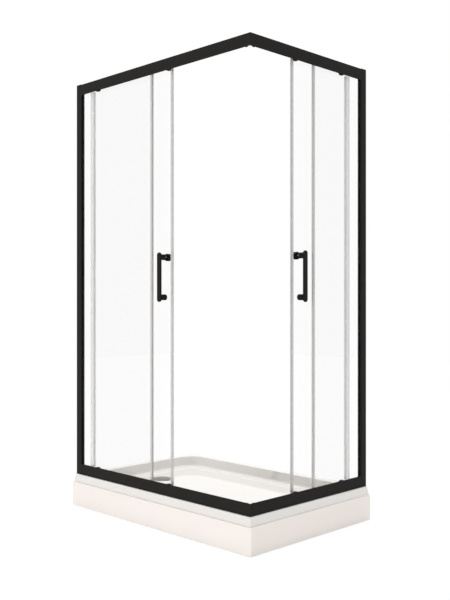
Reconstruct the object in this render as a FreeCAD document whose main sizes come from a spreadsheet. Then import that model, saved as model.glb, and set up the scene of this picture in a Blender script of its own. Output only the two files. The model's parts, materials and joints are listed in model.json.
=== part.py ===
"""Corner-entry shower enclosure on a low tray: two fixed panes, two sliding doors, black aluminium frame.

Frame of the part: origin at the middle of the footprint, on the floor. X runs along the long side, Y along
the short side, Z up. The long glazed side faces -Y, the short one faces +X, and the entry is the corner
between them. Places on a glazed side are given by s, the distance from the outer corner of the frame along
that side, and by q, the depth behind the outer face of the frame.
"""
import FreeCAD, Part
import math
import os
import Sketcher
from FreeCAD import Placement, Rotation, Vector

# Driving dimensions, in millimetres
SIZES = {
    # Tray
    "tray_length": 1200.0,
    "tray_width": 800.0,
    "rim_height": 150.0,
    "shell_wall": 4.5,
    "lip_setback": 7.0,
    "lip_lean": 8.6,
    "rim_rounding": 2.5,
    "basin_wall_margin": 45.0,
    "basin_frame_margin": 15.0,
    "basin_depth": 50.0,
    "basin_draft": 16.0,
    "basin_corner_radius": 100.0,
    "basin_floor_fillet": 12.0,
    "floor_shelf": 38.0,
    "floor_step": 2.0,
    "floor_slab": 12.0,
    # Aprons and their brackets
    "apron_height": 114.0,
    "apron_thickness": 10.0,
    "apron_gap": 0.5,
    "bracket_width": 25.0,
    "bracket_thickness": 3.0,
    "bracket_tab": 30.0,
    "bracket_lap": 20.0,
    # Bearers and levelling feet
    "bearer_size": 30.0,
    "bearer_wall": 2.0,
    "bearer_offset": 200.0,
    "bearer_end_margin": 20.0,
    "foot_end_margin": 40.0,
    "foot_pad_radius": 25.0,
    "foot_pad_top_radius": 14.0,
    "foot_pad_height": 14.0,
    "stud_radius": 6.0,
    "stud_clearance": 0.3,
    "stud_reach": 10.0,
    "nut_radius": 11.0,
    "nut_height": 8.0,
    # Drain
    "drain_from_wall": 205.0,
    "drain_recess_radius": 60.0,
    "drain_recess_depth": 24.0,
    "drain_well_wall": 6.0,
    "drain_well_floor": 6.0,
    "drain_hole_clearance": 3.0,
    "flange_thickness": 2.5,
    "flange_clearance": 1.0,
    "neck_radius": 42.0,
    "neck_wall": 3.0,
    "neck_length": 22.0,
    "gasket_thickness": 3.0,
    "trap_flange_thickness": 4.0,
    "trap_wall": 3.5,
    "trap_thread_clearance": 0.2,
    "trap_floor_gap": 14.0,
    "outlet_radius": 20.0,
    "outlet_wall": 2.5,
    "outlet_length": 100.0,
    "outlet_shoulder": 10.0,
    "outlet_shoulder_wall": 4.0,
    "outlet_height": 40.0,
    "cover_clearance": 5.0,
    "cover_thickness": 2.5,
    "cover_sink": 16.5,
    "cover_overhang": 5.0,
    "cover_skirt_wall": 8.0,
    "cover_notch_radius": 4.0,
    # Frame and rails
    "frame_inset": 22.5,
    "frame_height": 1914.0,
    "rail_height": 52.0,
    "rail_wall": 2.5,
    "track_setback": 1.0,
    "track_rise": 21.0,
    "track_thickness": 3.0,
    "web_thickness": 2.0,
    "web_gap": 9.0,
    "wall_profile_width": 36.0,
    "wall_profile_proud": 2.0,
    "wall_profile_wall": 2.0,
    "wall_hole_radius": 3.25,
    "wall_hole_margin": 200.0,
    "rail_end_gap": 0.5,
    "jamb_clearance": 0.5,
    "jamb_proud": 2.0,
    "jamb_wall_gap": 8.0,
    "jamb_slot_depth": 17.0,
    "jamb_chamber": 6.5,
    "jamb_rib": 1.5,
    "connector_gap": 1.5,
    "connector_reach": 70.0,
    "plug_reach": 30.0,
    "screw_end_distance": 15.0,
    "screw_radius": 2.0,
    "screw_head_radius": 4.0,
    "screw_length": 12.0,
    "screw_clearance": 0.1,
    "jamb_screw_margin": 300.0,
    # Glass, gaskets and seals
    "glass_thickness": 6.0,
    "pane_gasket_outer": 4.5,
    "pane_gasket_inner": 2.0,
    "pane_insertion": 22.0,
    "pane_gasket_wall": 1.0,
    "pane_gasket_legs": 12.0,
    "pane_gasket_base": 3.0,
    "front_pane_offset": 18.25,
    "side_pane_offset": 10.25,
    "pane_seal_wall": 1.5,
    "pane_seal_grip": 11.0,
    "seal_wall": 3.0,
    "seal_insertion": 7.0,
    # Doors
    "door_insertion": 32.0,
    "front_overlap": 27.5,
    "side_overlap": 36.5,
    "front_open_gap": 65.0,
    "side_open_gap": 69.0,
    "meeting_gap": 0.5,
    "door_seal_grip": 8.0,
    "fin_reach": 21.0,
    "fin_thickness": 1.6,
    "fin_root": 1.5,
    "magnet_width": 5.0,
    "magnet_thickness": 2.0,
    "magnet_cover": 1.2,
    "magnet_start": 6.0,
    "magnet_clearance": 0.1,
    # Rollers
    "roller_lead_gap": 1.0,
    "roller_trail_gap": 14.0,
    "carrier_hole_rise": 17.5,
    "carrier_radius": 12.0,
    "carrier_thickness": 4.0,
    "cap_radius": 14.0,
    "cap_thickness": 7.0,
    "cap_bevel": 2.0,
    "cap_clearance": 3.0,
    "spigot_radius": 3.8,
    "spigot_clearance": 0.2,
    "wheel_radius": 11.0,
    "wheel_width": 6.0,
    "wheel_hub_radius": 6.0,
    "wheel_recess": 1.5,
    "wheel_rim": 3.0,
    "wheel_gap": 1.0,
    "wheel_lift": 0.3,
    "wheel_wall_clearance": 1.2,
    "axle_radius": 2.5,
    "axle_clearance": 0.08,
    "axle_head_radius": 4.0,
    "axle_head_height": 2.0,
    "axle_float": 0.3,
    "stop_length": 10.0,
    "stop_seal_gap": 1.0,
    "stop_rise": 30.0,
    "stop_low": 6.0,
    "stop_clearance": 0.5,
    # Handles
    "handle_lead": 59.0,
    "handle_height": 1107.0,
    "handle_spacing": 177.0,
    "handle_length": 218.0,
    "handle_width": 24.0,
    "handle_thickness": 8.0,
    "handle_standoff": 31.0,
    "handle_rounding": 1.5,
    "post_radius": 13.0,
    "washer_thickness": 2.0,
    "collar_boss_radius": 13.0,
    "collar_boss_length": 4.0,
    "collar_flange_radius": 16.5,
    "collar_flange_length": 14.0,
    "bolt_radius": 3.0,
    "bolt_reach": 15.0,
    "bolt_recess": 2.0,
    "bolt_clearance": 0.1,
    "bolt_glass_clearance": 1.0,
    "grub_radius": 2.0,
    "grub_length": 6.0,
    "grub_depth": 5.5,
}

doc = FreeCAD.newDocument("ShowerEnclosure")
sheet = doc.addObject("Spreadsheet::Sheet", "Sizes")


class Measure:
    """A length of the part: its formula in the document together with its number."""

    def __init__(self, formula, number):
        self.formula = formula
        self.number = number

    def joined(self, sign, other, number):
        return Measure("(%s %s %s)" % (self.formula, sign, measure(other).formula), number)

    def __add__(self, other):
        return self.joined("+", other, self.number + measure(other).number)

    def __sub__(self, other):
        return self.joined("-", other, self.number - measure(other).number)

    def __mul__(self, factor):
        return self.joined("*", factor, self.number * measure(factor).number)

    def __truediv__(self, factor):
        return self.joined("/", factor, self.number / measure(factor).number)

    def __neg__(self):
        return Measure("(0 - %s)" % self.formula, -self.number)


def measure(thing):
    """Any number as a Measure."""
    if isinstance(thing, Measure):
        return thing
    return Measure("(%r)" % float(thing), float(thing))


class Sizes:
    """The sheet's sizes as attributes."""


dim = Sizes()
for row, (label, number) in enumerate(SIZES.items(), start=1):
    sheet.set("A%d" % row, label)
    sheet.set("B%d" % row, str(number))
    sheet.setAlias("B%d" % row, label)
    setattr(dim, label, Measure("Sizes." + label, number))
doc.recompute()

ZERO = measure(0)
DIAGONAL = math.sqrt(0.5)
UP, DOWN = 1, -1
COVER_NOTCHES = 6
JAMB_SCREWS = 3
nodes = []


# Places that several pieces share: heights, then depths behind the frame's outer face, from the outside in
corner_x = dim.tray_length / 2 - dim.frame_inset
corner_y = dim.frame_inset - dim.tray_width / 2
frame_top = dim.rim_height + dim.frame_height
top_edge = frame_top - dim.rail_height
bottom_edge = dim.rim_height + dim.rail_height
rail_inner = dim.rail_height - dim.rail_wall
pane_front = dim.rail_wall + dim.pane_gasket_outer
pane_back = pane_front + dim.glass_thickness
web_front = pane_back + dim.pane_gasket_inner
web_back = web_front + dim.web_thickness
cap_front = web_back + dim.cap_clearance
door_front = cap_front + dim.cap_thickness
door_back = door_front + dim.glass_thickness
seal_front = door_front - dim.seal_wall
seal_back = door_back + dim.seal_wall
seal_head = seal_back - seal_front
carrier_back = door_back + dim.carrier_thickness
wheel_front = carrier_back + dim.wheel_gap
wheel_back = wheel_front + dim.wheel_width
axle_end = wheel_back + dim.axle_float + dim.axle_head_height
track_front = wheel_front + dim.track_setback
rail_depth = axle_end + dim.wheel_wall_clearance + dim.rail_wall
track_top = dim.track_rise + dim.track_thickness
axle_rise = track_top + dim.wheel_lift + dim.wheel_radius
seal_bottom = bottom_edge - dim.seal_insertion
seal_top = top_edge + dim.seal_insertion


def bind(obj, prop, length):
    """Ties a property of an object to a Measure."""
    obj.setExpression(prop, measure(length).formula)


def place(obj, x, y, z, rotation=None):
    """Puts an object at a point that follows the sheet."""
    obj.Placement = Placement(Vector(x.number, y.number, z.number), rotation or Rotation())
    bind(obj, "Placement.Base.x", x)
    bind(obj, "Placement.Base.y", y)
    bind(obj, "Placement.Base.z", z)
    return obj


def node(obj, label):
    """Names a finished piece, which is written under this name."""
    obj.Label = label
    nodes.append(obj)
    return obj


def box(x0, x1, y0, y1, z0, z1):
    """A block between two corners."""
    block = doc.addObject("Part::Box", "Block")
    bind(block, "Length", x1 - x0)
    bind(block, "Width", y1 - y0)
    bind(block, "Height", z1 - z0)
    return place(block, x0, y0, z0)


def cylinder(radius, height, x, y, z, rotation=None):
    """A round bar whose axis starts at a point and runs along the turned Z."""
    bar = doc.addObject("Part::Cylinder", "Bar")
    bind(bar, "Radius", radius)
    bind(bar, "Height", height)
    return place(bar, x, y, z, rotation)


def cone(radius1, radius2, height, x, y, z, rotation=None):
    """A round taper from its base point along the turned Z."""
    taper = doc.addObject("Part::Cone", "Taper")
    bind(taper, "Radius1", radius1)
    bind(taper, "Radius2", radius2)
    bind(taper, "Height", height)
    return place(taper, x, y, z, rotation)


def fuse(*pieces):
    """Pieces joined into one solid."""
    joined = doc.addObject("Part::MultiFuse", "Joined")
    joined.Shapes = list(pieces)
    joined.Refine = True
    return joined


def group(pieces):
    """Separate solids kept together."""
    compound = doc.addObject("Part::Compound", "Group")
    compound.Links = list(pieces)
    return compound


def cut(base, *tools):
    """A solid with other solids taken out of it."""
    result = doc.addObject("Part::Cut", "Shaped")
    result.Base = base
    result.Tool = tools[0] if len(tools) == 1 else group(tools)
    return result


def new_body():
    return doc.addObject("PartDesign::Body", "Body")


def new_sketch(body, role, offset):
    """A sketch on one of the body's origin planes, moved along the plane's normal."""
    sketch = body.newObject("Sketcher::SketchObject", "Outline")
    plane = [feature for feature in body.Origin.OriginFeatures if feature.Role == role][0]
    sketch.AttachmentSupport = [(plane, "")]
    sketch.MapMode = "FlatFace"
    sketch.AttachmentOffset = Placement(Vector(0, 0, offset.number), Rotation())
    bind(sketch, "AttachmentOffset.Base.z", offset)
    return sketch


def fix_point(sketch, edge, end, u, v):
    """Holds an end of a sketch edge at a place that follows the sheet."""
    for kind, length in (("DistanceX", u), ("DistanceY", v)):
        index = sketch.addConstraint(Sketcher.Constraint(kind, edge, end, length.number))
        bind(sketch, "Constraints[%d]" % index, length)


def fix_radius(sketch, edge, radius):
    index = sketch.addConstraint(Sketcher.Constraint("Radius", edge, radius.number))
    bind(sketch, "Constraints[%d]" % index, radius)


def draw_polygon(sketch, points):
    """A closed outline of straight edges."""
    corners = [Vector(u.number, v.number, 0) for u, v in points]
    first = sketch.GeometryCount
    count = len(points)
    for index in range(count):
        sketch.addGeometry(Part.LineSegment(corners[index], corners[(index + 1) % count]), False)
    for index, (u, v) in enumerate(points):
        following = first + (index + 1) % count
        sketch.addConstraint(Sketcher.Constraint("Coincident", first + index, 2, following, 1))
        fix_point(sketch, first + index, 1, u, v)


def draw_circle(sketch, u, v, radius):
    centre = Vector(u.number, v.number, 0)
    edge = sketch.addGeometry(Part.Circle(centre, Vector(0, 0, 1), radius.number), False)
    fix_point(sketch, edge, 3, u, v)
    fix_radius(sketch, edge, radius)


def draw_rounded_rectangle(sketch, u0, u1, v0, v1, radius):
    """Four straight edges joined by quarter arcs, each arc held by its centre and its two ends."""
    quarters = [
        (u1 - radius, v1 - radius, 0),
        (u0 + radius, v1 - radius, 1),
        (u0 + radius, v0 + radius, 2),
        (u1 - radius, v0 + radius, 3),
    ]
    ends = []
    for u, v, quarter in quarters:
        start = quarter * math.pi / 2
        circle = Part.Circle(Vector(u.number, v.number, 0), Vector(0, 0, 1), radius.number)
        edge = sketch.addGeometry(Part.ArcOfCircle(circle, start, start + math.pi / 2), False)
        steps = [round(math.cos(start)), round(math.sin(start))]
        first = (u + radius * steps[0], v + radius * steps[1])
        last = (u - radius * steps[1], v + radius * steps[0])
        ends.append((edge, first, last))
    for index, (edge, first, last) in enumerate(ends):
        following, target = ends[(index + 1) % 4][:2]
        segment = Part.LineSegment(
            Vector(last[0].number, last[1].number, 0), Vector(target[0].number, target[1].number, 0))
        line = sketch.addGeometry(segment, False)
        sketch.addConstraint(Sketcher.Constraint("Tangent", edge, 2, line, 1))
        sketch.addConstraint(Sketcher.Constraint("Tangent", line, 2, following, 1))
        fix_point(sketch, edge, 3, quarters[index][0], quarters[index][1])
    fix_radius(sketch, ends[0][0], radius)


def pad(body, sketch, length):
    feature = body.newObject("PartDesign::Pad", "Pad")
    feature.Profile = sketch
    feature.Length = length.number
    bind(feature, "Length", length)
    sketch.Visibility = False
    return feature


def pocket(body, sketch, depth):
    """Takes a sketch's area out of the body, against the sketch's normal."""
    feature = body.newObject("PartDesign::Pocket", "Pocket")
    feature.Profile = sketch
    feature.Length = depth.number
    bind(feature, "Length", depth)
    return feature


def loft(body, kind, lower, upper):
    """A solid or a hollow that runs straight from one outline to another."""
    feature = body.newObject("PartDesign::" + kind, "Loft")
    feature.Profile = lower
    feature.Sections = [upper]
    feature.Ruled = True
    return feature


class GlazedSide:
    """One glazed side of the enclosure, with its own directions along s and q.

    The fixed pane ends a little past the middle of the side. The closed door laps over that edge, and the open
    door stops with its handle short of it.
    """

    def __init__(self, name, along_x, run, pane_offset, overlap, open_gap):
        self.name = name
        self.along_x = along_x
        self.run = run
        self.outward = Rotation(Vector(1, 0, 0), 90) if along_x else Rotation(Vector(0, 1, 0), 90)
        self.pane_edge = run / 2 + pane_offset
        self.closed_lead = seal_front + dim.meeting_gap
        self.open_lead = self.pane_edge - open_gap - dim.handle_lead
        self.open_tip = self.open_lead + self.pane_edge + overlap - self.closed_lead

    def point(self, s, q):
        """The X and Y of a place on this side."""
        if self.along_x:
            return corner_x - s, corner_y + q
        return corner_x - q, corner_y + s

    def block(self, s0, s1, q0, q1, z0, z1):
        xa, ya = self.point(measure(s0), measure(q0))
        xb, yb = self.point(measure(s1), measure(q1))
        return box(xb, xa, ya, yb, z0, z1)

    def rod(self, s, q0, q1, z, radius):
        """A round bar square to the side, from its depth q1 outwards to q0."""
        x, y = self.point(s, measure(q1))
        return cylinder(radius, q1 - q0, x, y, z, self.outward)

    def upright(self, loops, z0, z1):
        """A bar of one plan outline, standing from z0 to z1."""
        body = new_body()
        sketch = new_sketch(body, "XY_Plane", z0)
        for loop in loops:
            draw_polygon(sketch, [self.point(s, q) for s, q in loop])
        pad(body, sketch, z1 - z0)
        return body

    def section_bar(self, outline, s0, s1):
        """A bar of one section in q and z, lying along the side from s1 to s0."""
        body = new_body()
        x, y = self.point(s1, ZERO)
        if self.along_x:
            sketch = new_sketch(body, "YZ_Plane", x)
        else:
            sketch = new_sketch(body, "XZ_Plane", -y)
        draw_polygon(sketch, [(self.across(q), z) for q, z in outline])
        pad(body, sketch, s1 - s0)
        return body

    def across(self, q):
        return corner_y + q if self.along_x else corner_x - q

    def rounded_plate(self, s, z0, z1, width, q0, q1, rounding):
        """A flat bar with half-round ends, standing upright, with its edges eased."""
        body = new_body()
        x, y = self.point(s, q1)
        if self.along_x:
            sketch = new_sketch(body, "XZ_Plane", -y)
            middle = x
        else:
            sketch = new_sketch(body, "YZ_Plane", x)
            middle = y
        radius = width / 2
        low = z0 + radius
        high = z1 - radius
        arcs = []
        for v, start in ((high, 0.0), (low, math.pi)):
            circle = Part.Circle(Vector(middle.number, v.number, 0), Vector(0, 0, 1), radius.number)
            arcs.append(sketch.addGeometry(Part.ArcOfCircle(circle, start, start + math.pi), False))
            fix_point(sketch, arcs[-1], 3, middle, v)
        for first, second, sign in ((0, 1, -1), (1, 0, 1)):
            u = middle.number + sign * radius.number
            heights = (high, low) if sign < 0 else (low, high)
            segment = Part.LineSegment(Vector(u, heights[0].number, 0), Vector(u, heights[1].number, 0))
            line = sketch.addGeometry(segment, False)
            sketch.addConstraint(Sketcher.Constraint("Tangent", arcs[first], 2, line, 1))
            sketch.addConstraint(Sketcher.Constraint("Tangent", line, 2, arcs[second], 1))
        fix_radius(sketch, arcs[0], radius)
        plate = pad(body, sketch, q1 - q0)
        doc.recompute()
        ease = body.newObject("PartDesign::Fillet", "Ease")
        flat = [index for index, face in enumerate(plate.Shape.Faces, start=1) if len(face.Edges) == 4
                and abs(abs(face.normalAt(0, 0).dot(self.outward.multVec(Vector(0, 0, 1)))) - 1) < 1e-6]
        ease.Base = (plate, ["Face%d" % index for index in flat])
        ease.Radius = rounding.number
        bind(ease, "Radius", rounding)
        return body


front = GlazedSide("front", True, dim.tray_length - dim.frame_inset, dim.front_pane_offset, dim.front_overlap,
                   dim.front_open_gap)
side = GlazedSide("side", False, dim.tray_width - dim.frame_inset, dim.side_pane_offset, dim.side_overlap,
                  dim.side_open_gap)
SIDES = (front, side)


# Tray shell
left_wall = -dim.tray_length / 2
back_wall = dim.tray_width / 2
apron_x = dim.tray_length / 2
apron_y = -dim.tray_width / 2
lip_bottom = dim.apron_height + dim.apron_gap
basin_floor = dim.rim_height - dim.basin_depth
panel_floor = basin_floor - dim.floor_step
slab_bottom = panel_floor - dim.floor_slab
basin_x0 = left_wall + dim.basin_wall_margin
basin_x1 = corner_x - rail_depth - dim.basin_frame_margin
basin_y0 = corner_y + rail_depth + dim.basin_frame_margin
basin_y1 = back_wall - dim.basin_wall_margin
drain_x = left_wall + dim.drain_from_wall
drain_y = ZERO
recess_floor = panel_floor - dim.drain_recess_depth
well_bottom = recess_floor - dim.drain_well_floor
drain_hole_radius = dim.neck_radius + dim.drain_hole_clearance


def tray_outline(body, z, setback, wall_inset):
    """The tray's plan at one height: it stands back from the apron faces, and close to the room's walls."""
    sketch = new_sketch(body, "XY_Plane", z)
    x0 = left_wall + wall_inset
    x1 = apron_x - setback
    y0 = apron_y + setback
    y1 = back_wall - wall_inset
    draw_polygon(sketch, [(x0, y0), (x1, y0), (x1, y1), (x0, y1)])
    return sketch


def basin_outline(body, z, inset):
    """The basin's plan at one height, drawn in evenly from its upper edge."""
    sketch = new_sketch(body, "XY_Plane", z)
    draw_rounded_rectangle(sketch, basin_x0 + inset, basin_x1 - inset, basin_y0 + inset, basin_y1 - inset,
                           dim.basin_corner_radius - inset)
    return sketch


def edges_at_height(shape, z):
    """Names of the level edges at one height."""
    found = []
    for index, edge in enumerate(shape.Edges, start=1):
        bounds = edge.BoundBox
        if abs(bounds.ZMin - z) < 1e-4 and abs(bounds.ZMax - z) < 1e-4:
            found.append("Edge%d" % index)
    return found


def round_edges(body, base, names, radius):
    feature = body.newObject("PartDesign::Fillet", "Rounding")
    feature.Base = (base, names)
    feature.Radius = radius.number
    bind(feature, "Radius", radius)
    return feature


def make_tray():
    body = new_body()
    wall = dim.shell_wall
    lean_setback = dim.lip_setback + dim.lip_lean
    lower = tray_outline(body, lip_bottom, dim.lip_setback, ZERO)
    upper = tray_outline(body, dim.rim_height, lean_setback, ZERO)
    loft(body, "AdditiveLoft", lower, upper)
    lower = tray_outline(body, lip_bottom, dim.lip_setback + wall, wall)
    upper = tray_outline(body, dim.rim_height - wall, lean_setback + wall, wall)
    loft(body, "SubtractiveLoft", lower, upper)
    slab = basin_outline(body, slab_bottom, dim.basin_draft - wall)
    pad(body, slab, panel_floor - slab_bottom)
    well = new_sketch(body, "XY_Plane", well_bottom)
    draw_circle(well, drain_x, drain_y, dim.drain_recess_radius + dim.drain_well_wall)
    pad(body, well, panel_floor - well_bottom)
    lower = basin_outline(body, panel_floor, dim.basin_draft - wall)
    upper = basin_outline(body, dim.rim_height - wall, -wall)
    loft(body, "AdditiveLoft", lower, upper)
    lower = basin_outline(body, basin_floor, dim.basin_draft)
    upper = basin_outline(body, dim.rim_height, ZERO)
    hollow = loft(body, "SubtractiveLoft", lower, upper)
    doc.recompute()
    floor_edges = edges_at_height(hollow.Shape, basin_floor.number)
    round_edges(body, hollow, floor_edges, dim.basin_floor_fillet)
    panel = basin_outline(body, basin_floor, dim.basin_draft + dim.floor_shelf)
    pocket(body, panel, dim.floor_step)
    recess = new_sketch(body, "XY_Plane", panel_floor)
    draw_circle(recess, drain_x, drain_y, dim.drain_recess_radius)
    pocket(body, recess, dim.drain_recess_depth)
    hole = new_sketch(body, "XY_Plane", recess_floor)
    draw_circle(hole, drain_x, drain_y, drain_hole_radius)
    last = pocket(body, hole, dim.drain_well_floor)
    doc.recompute()
    rim_edges = edges_at_height(last.Shape, dim.rim_height.number)
    round_edges(body, last, rim_edges, dim.rim_rounding)
    return node(body, "tray_shell")


make_tray()


# Aprons: a front panel that turns the corner, and a side panel that meets it
def make_aprons():
    radius = dim.apron_thickness
    corner = cylinder(radius, dim.apron_height, apron_x - radius, apron_y + radius, ZERO,
                      Rotation(Vector(0, 0, 1), -90))
    corner.Angle = 90
    panel = box(left_wall, apron_x - radius, apron_y, apron_y + radius, ZERO, dim.apron_height)
    node(fuse(panel, corner), "front_apron")
    node(box(apron_x - radius, apron_x, apron_y + radius, back_wall, ZERO, dim.apron_height), "side_apron")


make_aprons()


# Bearers under the floor, levelling feet and apron brackets
bearer_x0 = basin_x0 + dim.basin_draft + dim.bearer_end_margin
bearer_x1 = basin_x1 - dim.basin_draft - dim.bearer_end_margin
bearer_bottom = slab_bottom - dim.bearer_size
BEARER_LINES = (-dim.bearer_offset, dim.bearer_offset)
FOOT_LINES = (bearer_x0 + dim.foot_end_margin, (bearer_x0 + bearer_x1) / 2, bearer_x1 - dim.foot_end_margin)


def make_bearers():
    tubes = []
    half = dim.bearer_size / 2
    bore = half - dim.bearer_wall
    for y in BEARER_LINES:
        tube = box(bearer_x0, bearer_x1, y - half, y + half, bearer_bottom, slab_bottom)
        hollow = box(bearer_x0, bearer_x1, y - bore, y + bore, bearer_bottom + dim.bearer_wall,
                     slab_bottom - dim.bearer_wall)
        holes = [cylinder(dim.stud_radius + dim.stud_clearance, dim.bearer_wall, x, y, bearer_bottom)
                 for x in FOOT_LINES]
        tubes.append(cut(tube, hollow, *holes))
    node(group(tubes), "tray_bearers")


def make_feet():
    feet = []
    nuts = []
    stud_length = bearer_bottom - dim.foot_pad_height + dim.bearer_wall + dim.stud_reach
    for x in FOOT_LINES:
        for y in BEARER_LINES:
            pad_cone = cone(dim.foot_pad_radius, dim.foot_pad_top_radius, dim.foot_pad_height, x, y, ZERO)
            stud = cylinder(dim.stud_radius, stud_length, x, y, dim.foot_pad_height)
            feet.append(fuse(pad_cone, stud))
            nut = doc.addObject("Part::Prism", "Nut")
            nut.Polygon = 6
            bind(nut, "Circumradius", dim.nut_radius)
            bind(nut, "Height", dim.nut_height)
            place(nut, x, y, bearer_bottom - dim.nut_height)
            bore = cylinder(dim.stud_radius + dim.screw_clearance, dim.nut_height, x, y,
                            bearer_bottom - dim.nut_height)
            nuts.append(cut(nut, bore))
    node(group(feet), "levelling_feet")
    node(group(nuts), "foot_lock_nuts")


def make_brackets():
    half = dim.bracket_width / 2
    thin = dim.bracket_thickness
    top = bearer_bottom
    low = top - dim.bracket_tab
    brackets = []
    inner_y = apron_y + dim.apron_thickness
    for first, second in zip(FOOT_LINES, FOOT_LINES[1:]):
        x = (first + second) / 2
        arm = box(x - half, x + half, inner_y, BEARER_LINES[0] + dim.bearer_size / 2, top - thin, top)
        tab = box(x - half, x + half, inner_y, inner_y + thin, low, top)
        brackets.append(fuse(arm, tab))
    inner_x = apron_x - dim.apron_thickness
    for y in BEARER_LINES:
        arm = box(bearer_x1 - dim.bracket_lap, inner_x, y - half, y + half, top - thin, top)
        tab = box(inner_x - thin, inner_x, y - half, y + half, low, top)
        brackets.append(fuse(arm, tab))
    node(group(brackets), "apron_brackets")


make_bearers()
make_feet()
make_brackets()


# Drain: flange with a threaded neck, gasket, trap with its outlet, and the lift-out cover
def make_drain():
    flange_radius = dim.drain_recess_radius - dim.flange_clearance
    neck_bore = dim.neck_radius - dim.neck_wall
    ring = cylinder(flange_radius, dim.flange_thickness, drain_x, drain_y, recess_floor)
    neck = cylinder(dim.neck_radius, dim.neck_length, drain_x, drain_y, recess_floor - dim.neck_length)
    bore = cylinder(neck_bore, dim.neck_length + dim.flange_thickness, drain_x, drain_y,
                    recess_floor - dim.neck_length)
    node(cut(fuse(ring, neck), bore), "drain_flange")

    gasket_bottom = well_bottom - dim.gasket_thickness
    gasket = cylinder(flange_radius, dim.gasket_thickness, drain_x, drain_y, gasket_bottom)
    opening = cylinder(drain_hole_radius, dim.gasket_thickness, drain_x, drain_y, gasket_bottom)
    node(cut(gasket, opening), "drain_gasket")

    cup_bore = dim.neck_radius + dim.trap_thread_clearance
    cup_radius = cup_bore + dim.trap_wall
    cup_bottom = dim.trap_floor_gap
    collar = cylinder(flange_radius, dim.trap_flange_thickness, drain_x, drain_y,
                      gasket_bottom - dim.trap_flange_thickness)
    cup = cylinder(cup_radius, gasket_bottom - cup_bottom, drain_x, drain_y, cup_bottom)
    hollow = cylinder(cup_bore, gasket_bottom - cup_bottom - dim.trap_wall, drain_x, drain_y,
                      cup_bottom + dim.trap_wall)
    to_wall = Rotation(Vector(0, 1, 0), -90)
    shoulder_length = cup_radius + dim.outlet_shoulder
    shoulder = cylinder(dim.outlet_radius + dim.outlet_shoulder_wall, shoulder_length, drain_x, drain_y,
                        dim.outlet_height, to_wall)
    pipe_length = shoulder_length + dim.outlet_length
    pipe = cylinder(dim.outlet_radius, pipe_length, drain_x, drain_y, dim.outlet_height, to_wall)
    pipe_bore = cylinder(dim.outlet_radius - dim.outlet_wall, pipe_length, drain_x, drain_y,
                         dim.outlet_height, to_wall)
    node(cut(fuse(collar, cup, shoulder, pipe), hollow, pipe_bore), "drain_trap")

    seat = recess_floor + dim.flange_thickness
    cover_top = panel_floor - dim.cover_sink
    cover_radius = dim.drain_recess_radius - dim.cover_clearance
    skirt_radius = cover_radius - dim.cover_overhang
    plate = cylinder(cover_radius, dim.cover_thickness, drain_x, drain_y, cover_top - dim.cover_thickness)
    skirt_height = cover_top - dim.cover_thickness - seat
    skirt = cylinder(skirt_radius, skirt_height, drain_x, drain_y, seat)
    skirt_bore = cylinder(skirt_radius - dim.cover_skirt_wall, skirt_height, drain_x, drain_y, seat)
    notches = []
    for turn in range(COVER_NOTCHES):
        angle = 2 * math.pi * turn / COVER_NOTCHES
        heading = Rotation(Vector(0, 0, 1), Vector(math.cos(angle), math.sin(angle), 0))
        notches.append(cylinder(dim.cover_notch_radius, cover_radius, drain_x, drain_y, seat, heading))
    node(fuse(plate, cut(skirt, skirt_bore, *notches)), "drain_cover")


make_drain()


# Wall profiles and the jambs that slide into them
def from_wall(glazed, outline):
    """An outline given by its distance from the room's wall, turned into one by s."""
    return [(glazed.run - a, q) for a, q in outline]


slot_front = pane_front - dim.pane_gasket_wall
slot_back = pane_back + dim.pane_gasket_wall
jamb_front = dim.wall_profile_wall + dim.jamb_clearance
jamb_back = slot_back + dim.jamb_chamber
profile_inner = jamb_back + dim.jamb_clearance
profile_depth = profile_inner + dim.wall_profile_wall
jamb_edge = dim.wall_profile_width + dim.jamb_proud
slot_bottom = jamb_edge - dim.jamb_slot_depth
jamb_screw_place = (dim.jamb_wall_gap + slot_bottom) / 2


def jamb_screw_heights():
    first = bottom_edge + dim.jamb_screw_margin
    step = (top_edge - bottom_edge - dim.jamb_screw_margin * 2) / (JAMB_SCREWS - 1)
    return [first + step * index for index in range(JAMB_SCREWS)]


def countersunk(radius, head_radius, wall, length, x, y, z, rotation):
    """A flat-headed screw, from the outer face of a wall along the turned Z."""
    head = cone(head_radius, radius, wall, x, y, z, rotation)
    shank = cylinder(radius, length, x, y, z, rotation)
    return fuse(head, shank)


def jamb_screws(glazed, clearance):
    pieces = []
    for z in jamb_screw_heights():
        x, y = glazed.point(glazed.run - jamb_screw_place, profile_depth)
        pieces.append(countersunk(dim.screw_radius + clearance, dim.screw_head_radius + clearance,
                                  dim.wall_profile_wall, dim.screw_length, x, y, z, glazed.outward))
    return pieces


def make_wall_profile(glazed):
    wall = dim.wall_profile_wall
    width = dim.wall_profile_width
    outline = [(ZERO, ZERO), (width, ZERO), (width, wall), (wall, wall), (wall, profile_inner),
               (width, profile_inner), (width, profile_depth), (ZERO, profile_depth)]
    channel = glazed.upright([from_wall(glazed, outline)], dim.rim_height, frame_top + dim.wall_profile_proud)
    to_wall = Rotation(Vector(0, 0, 1), Vector(-1, 0, 0) if glazed.along_x else Vector(0, 1, 0))
    holes = []
    for z in (dim.rim_height + dim.wall_hole_margin, frame_top - dim.wall_hole_margin):
        x, y = glazed.point(glazed.run - wall, profile_depth / 2)
        holes.append(cylinder(dim.wall_hole_radius, wall, x, y, z, to_wall))
    node(cut(channel, *holes, *jamb_screws(glazed, dim.screw_clearance)), glazed.name + "_wall_profile")


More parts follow.
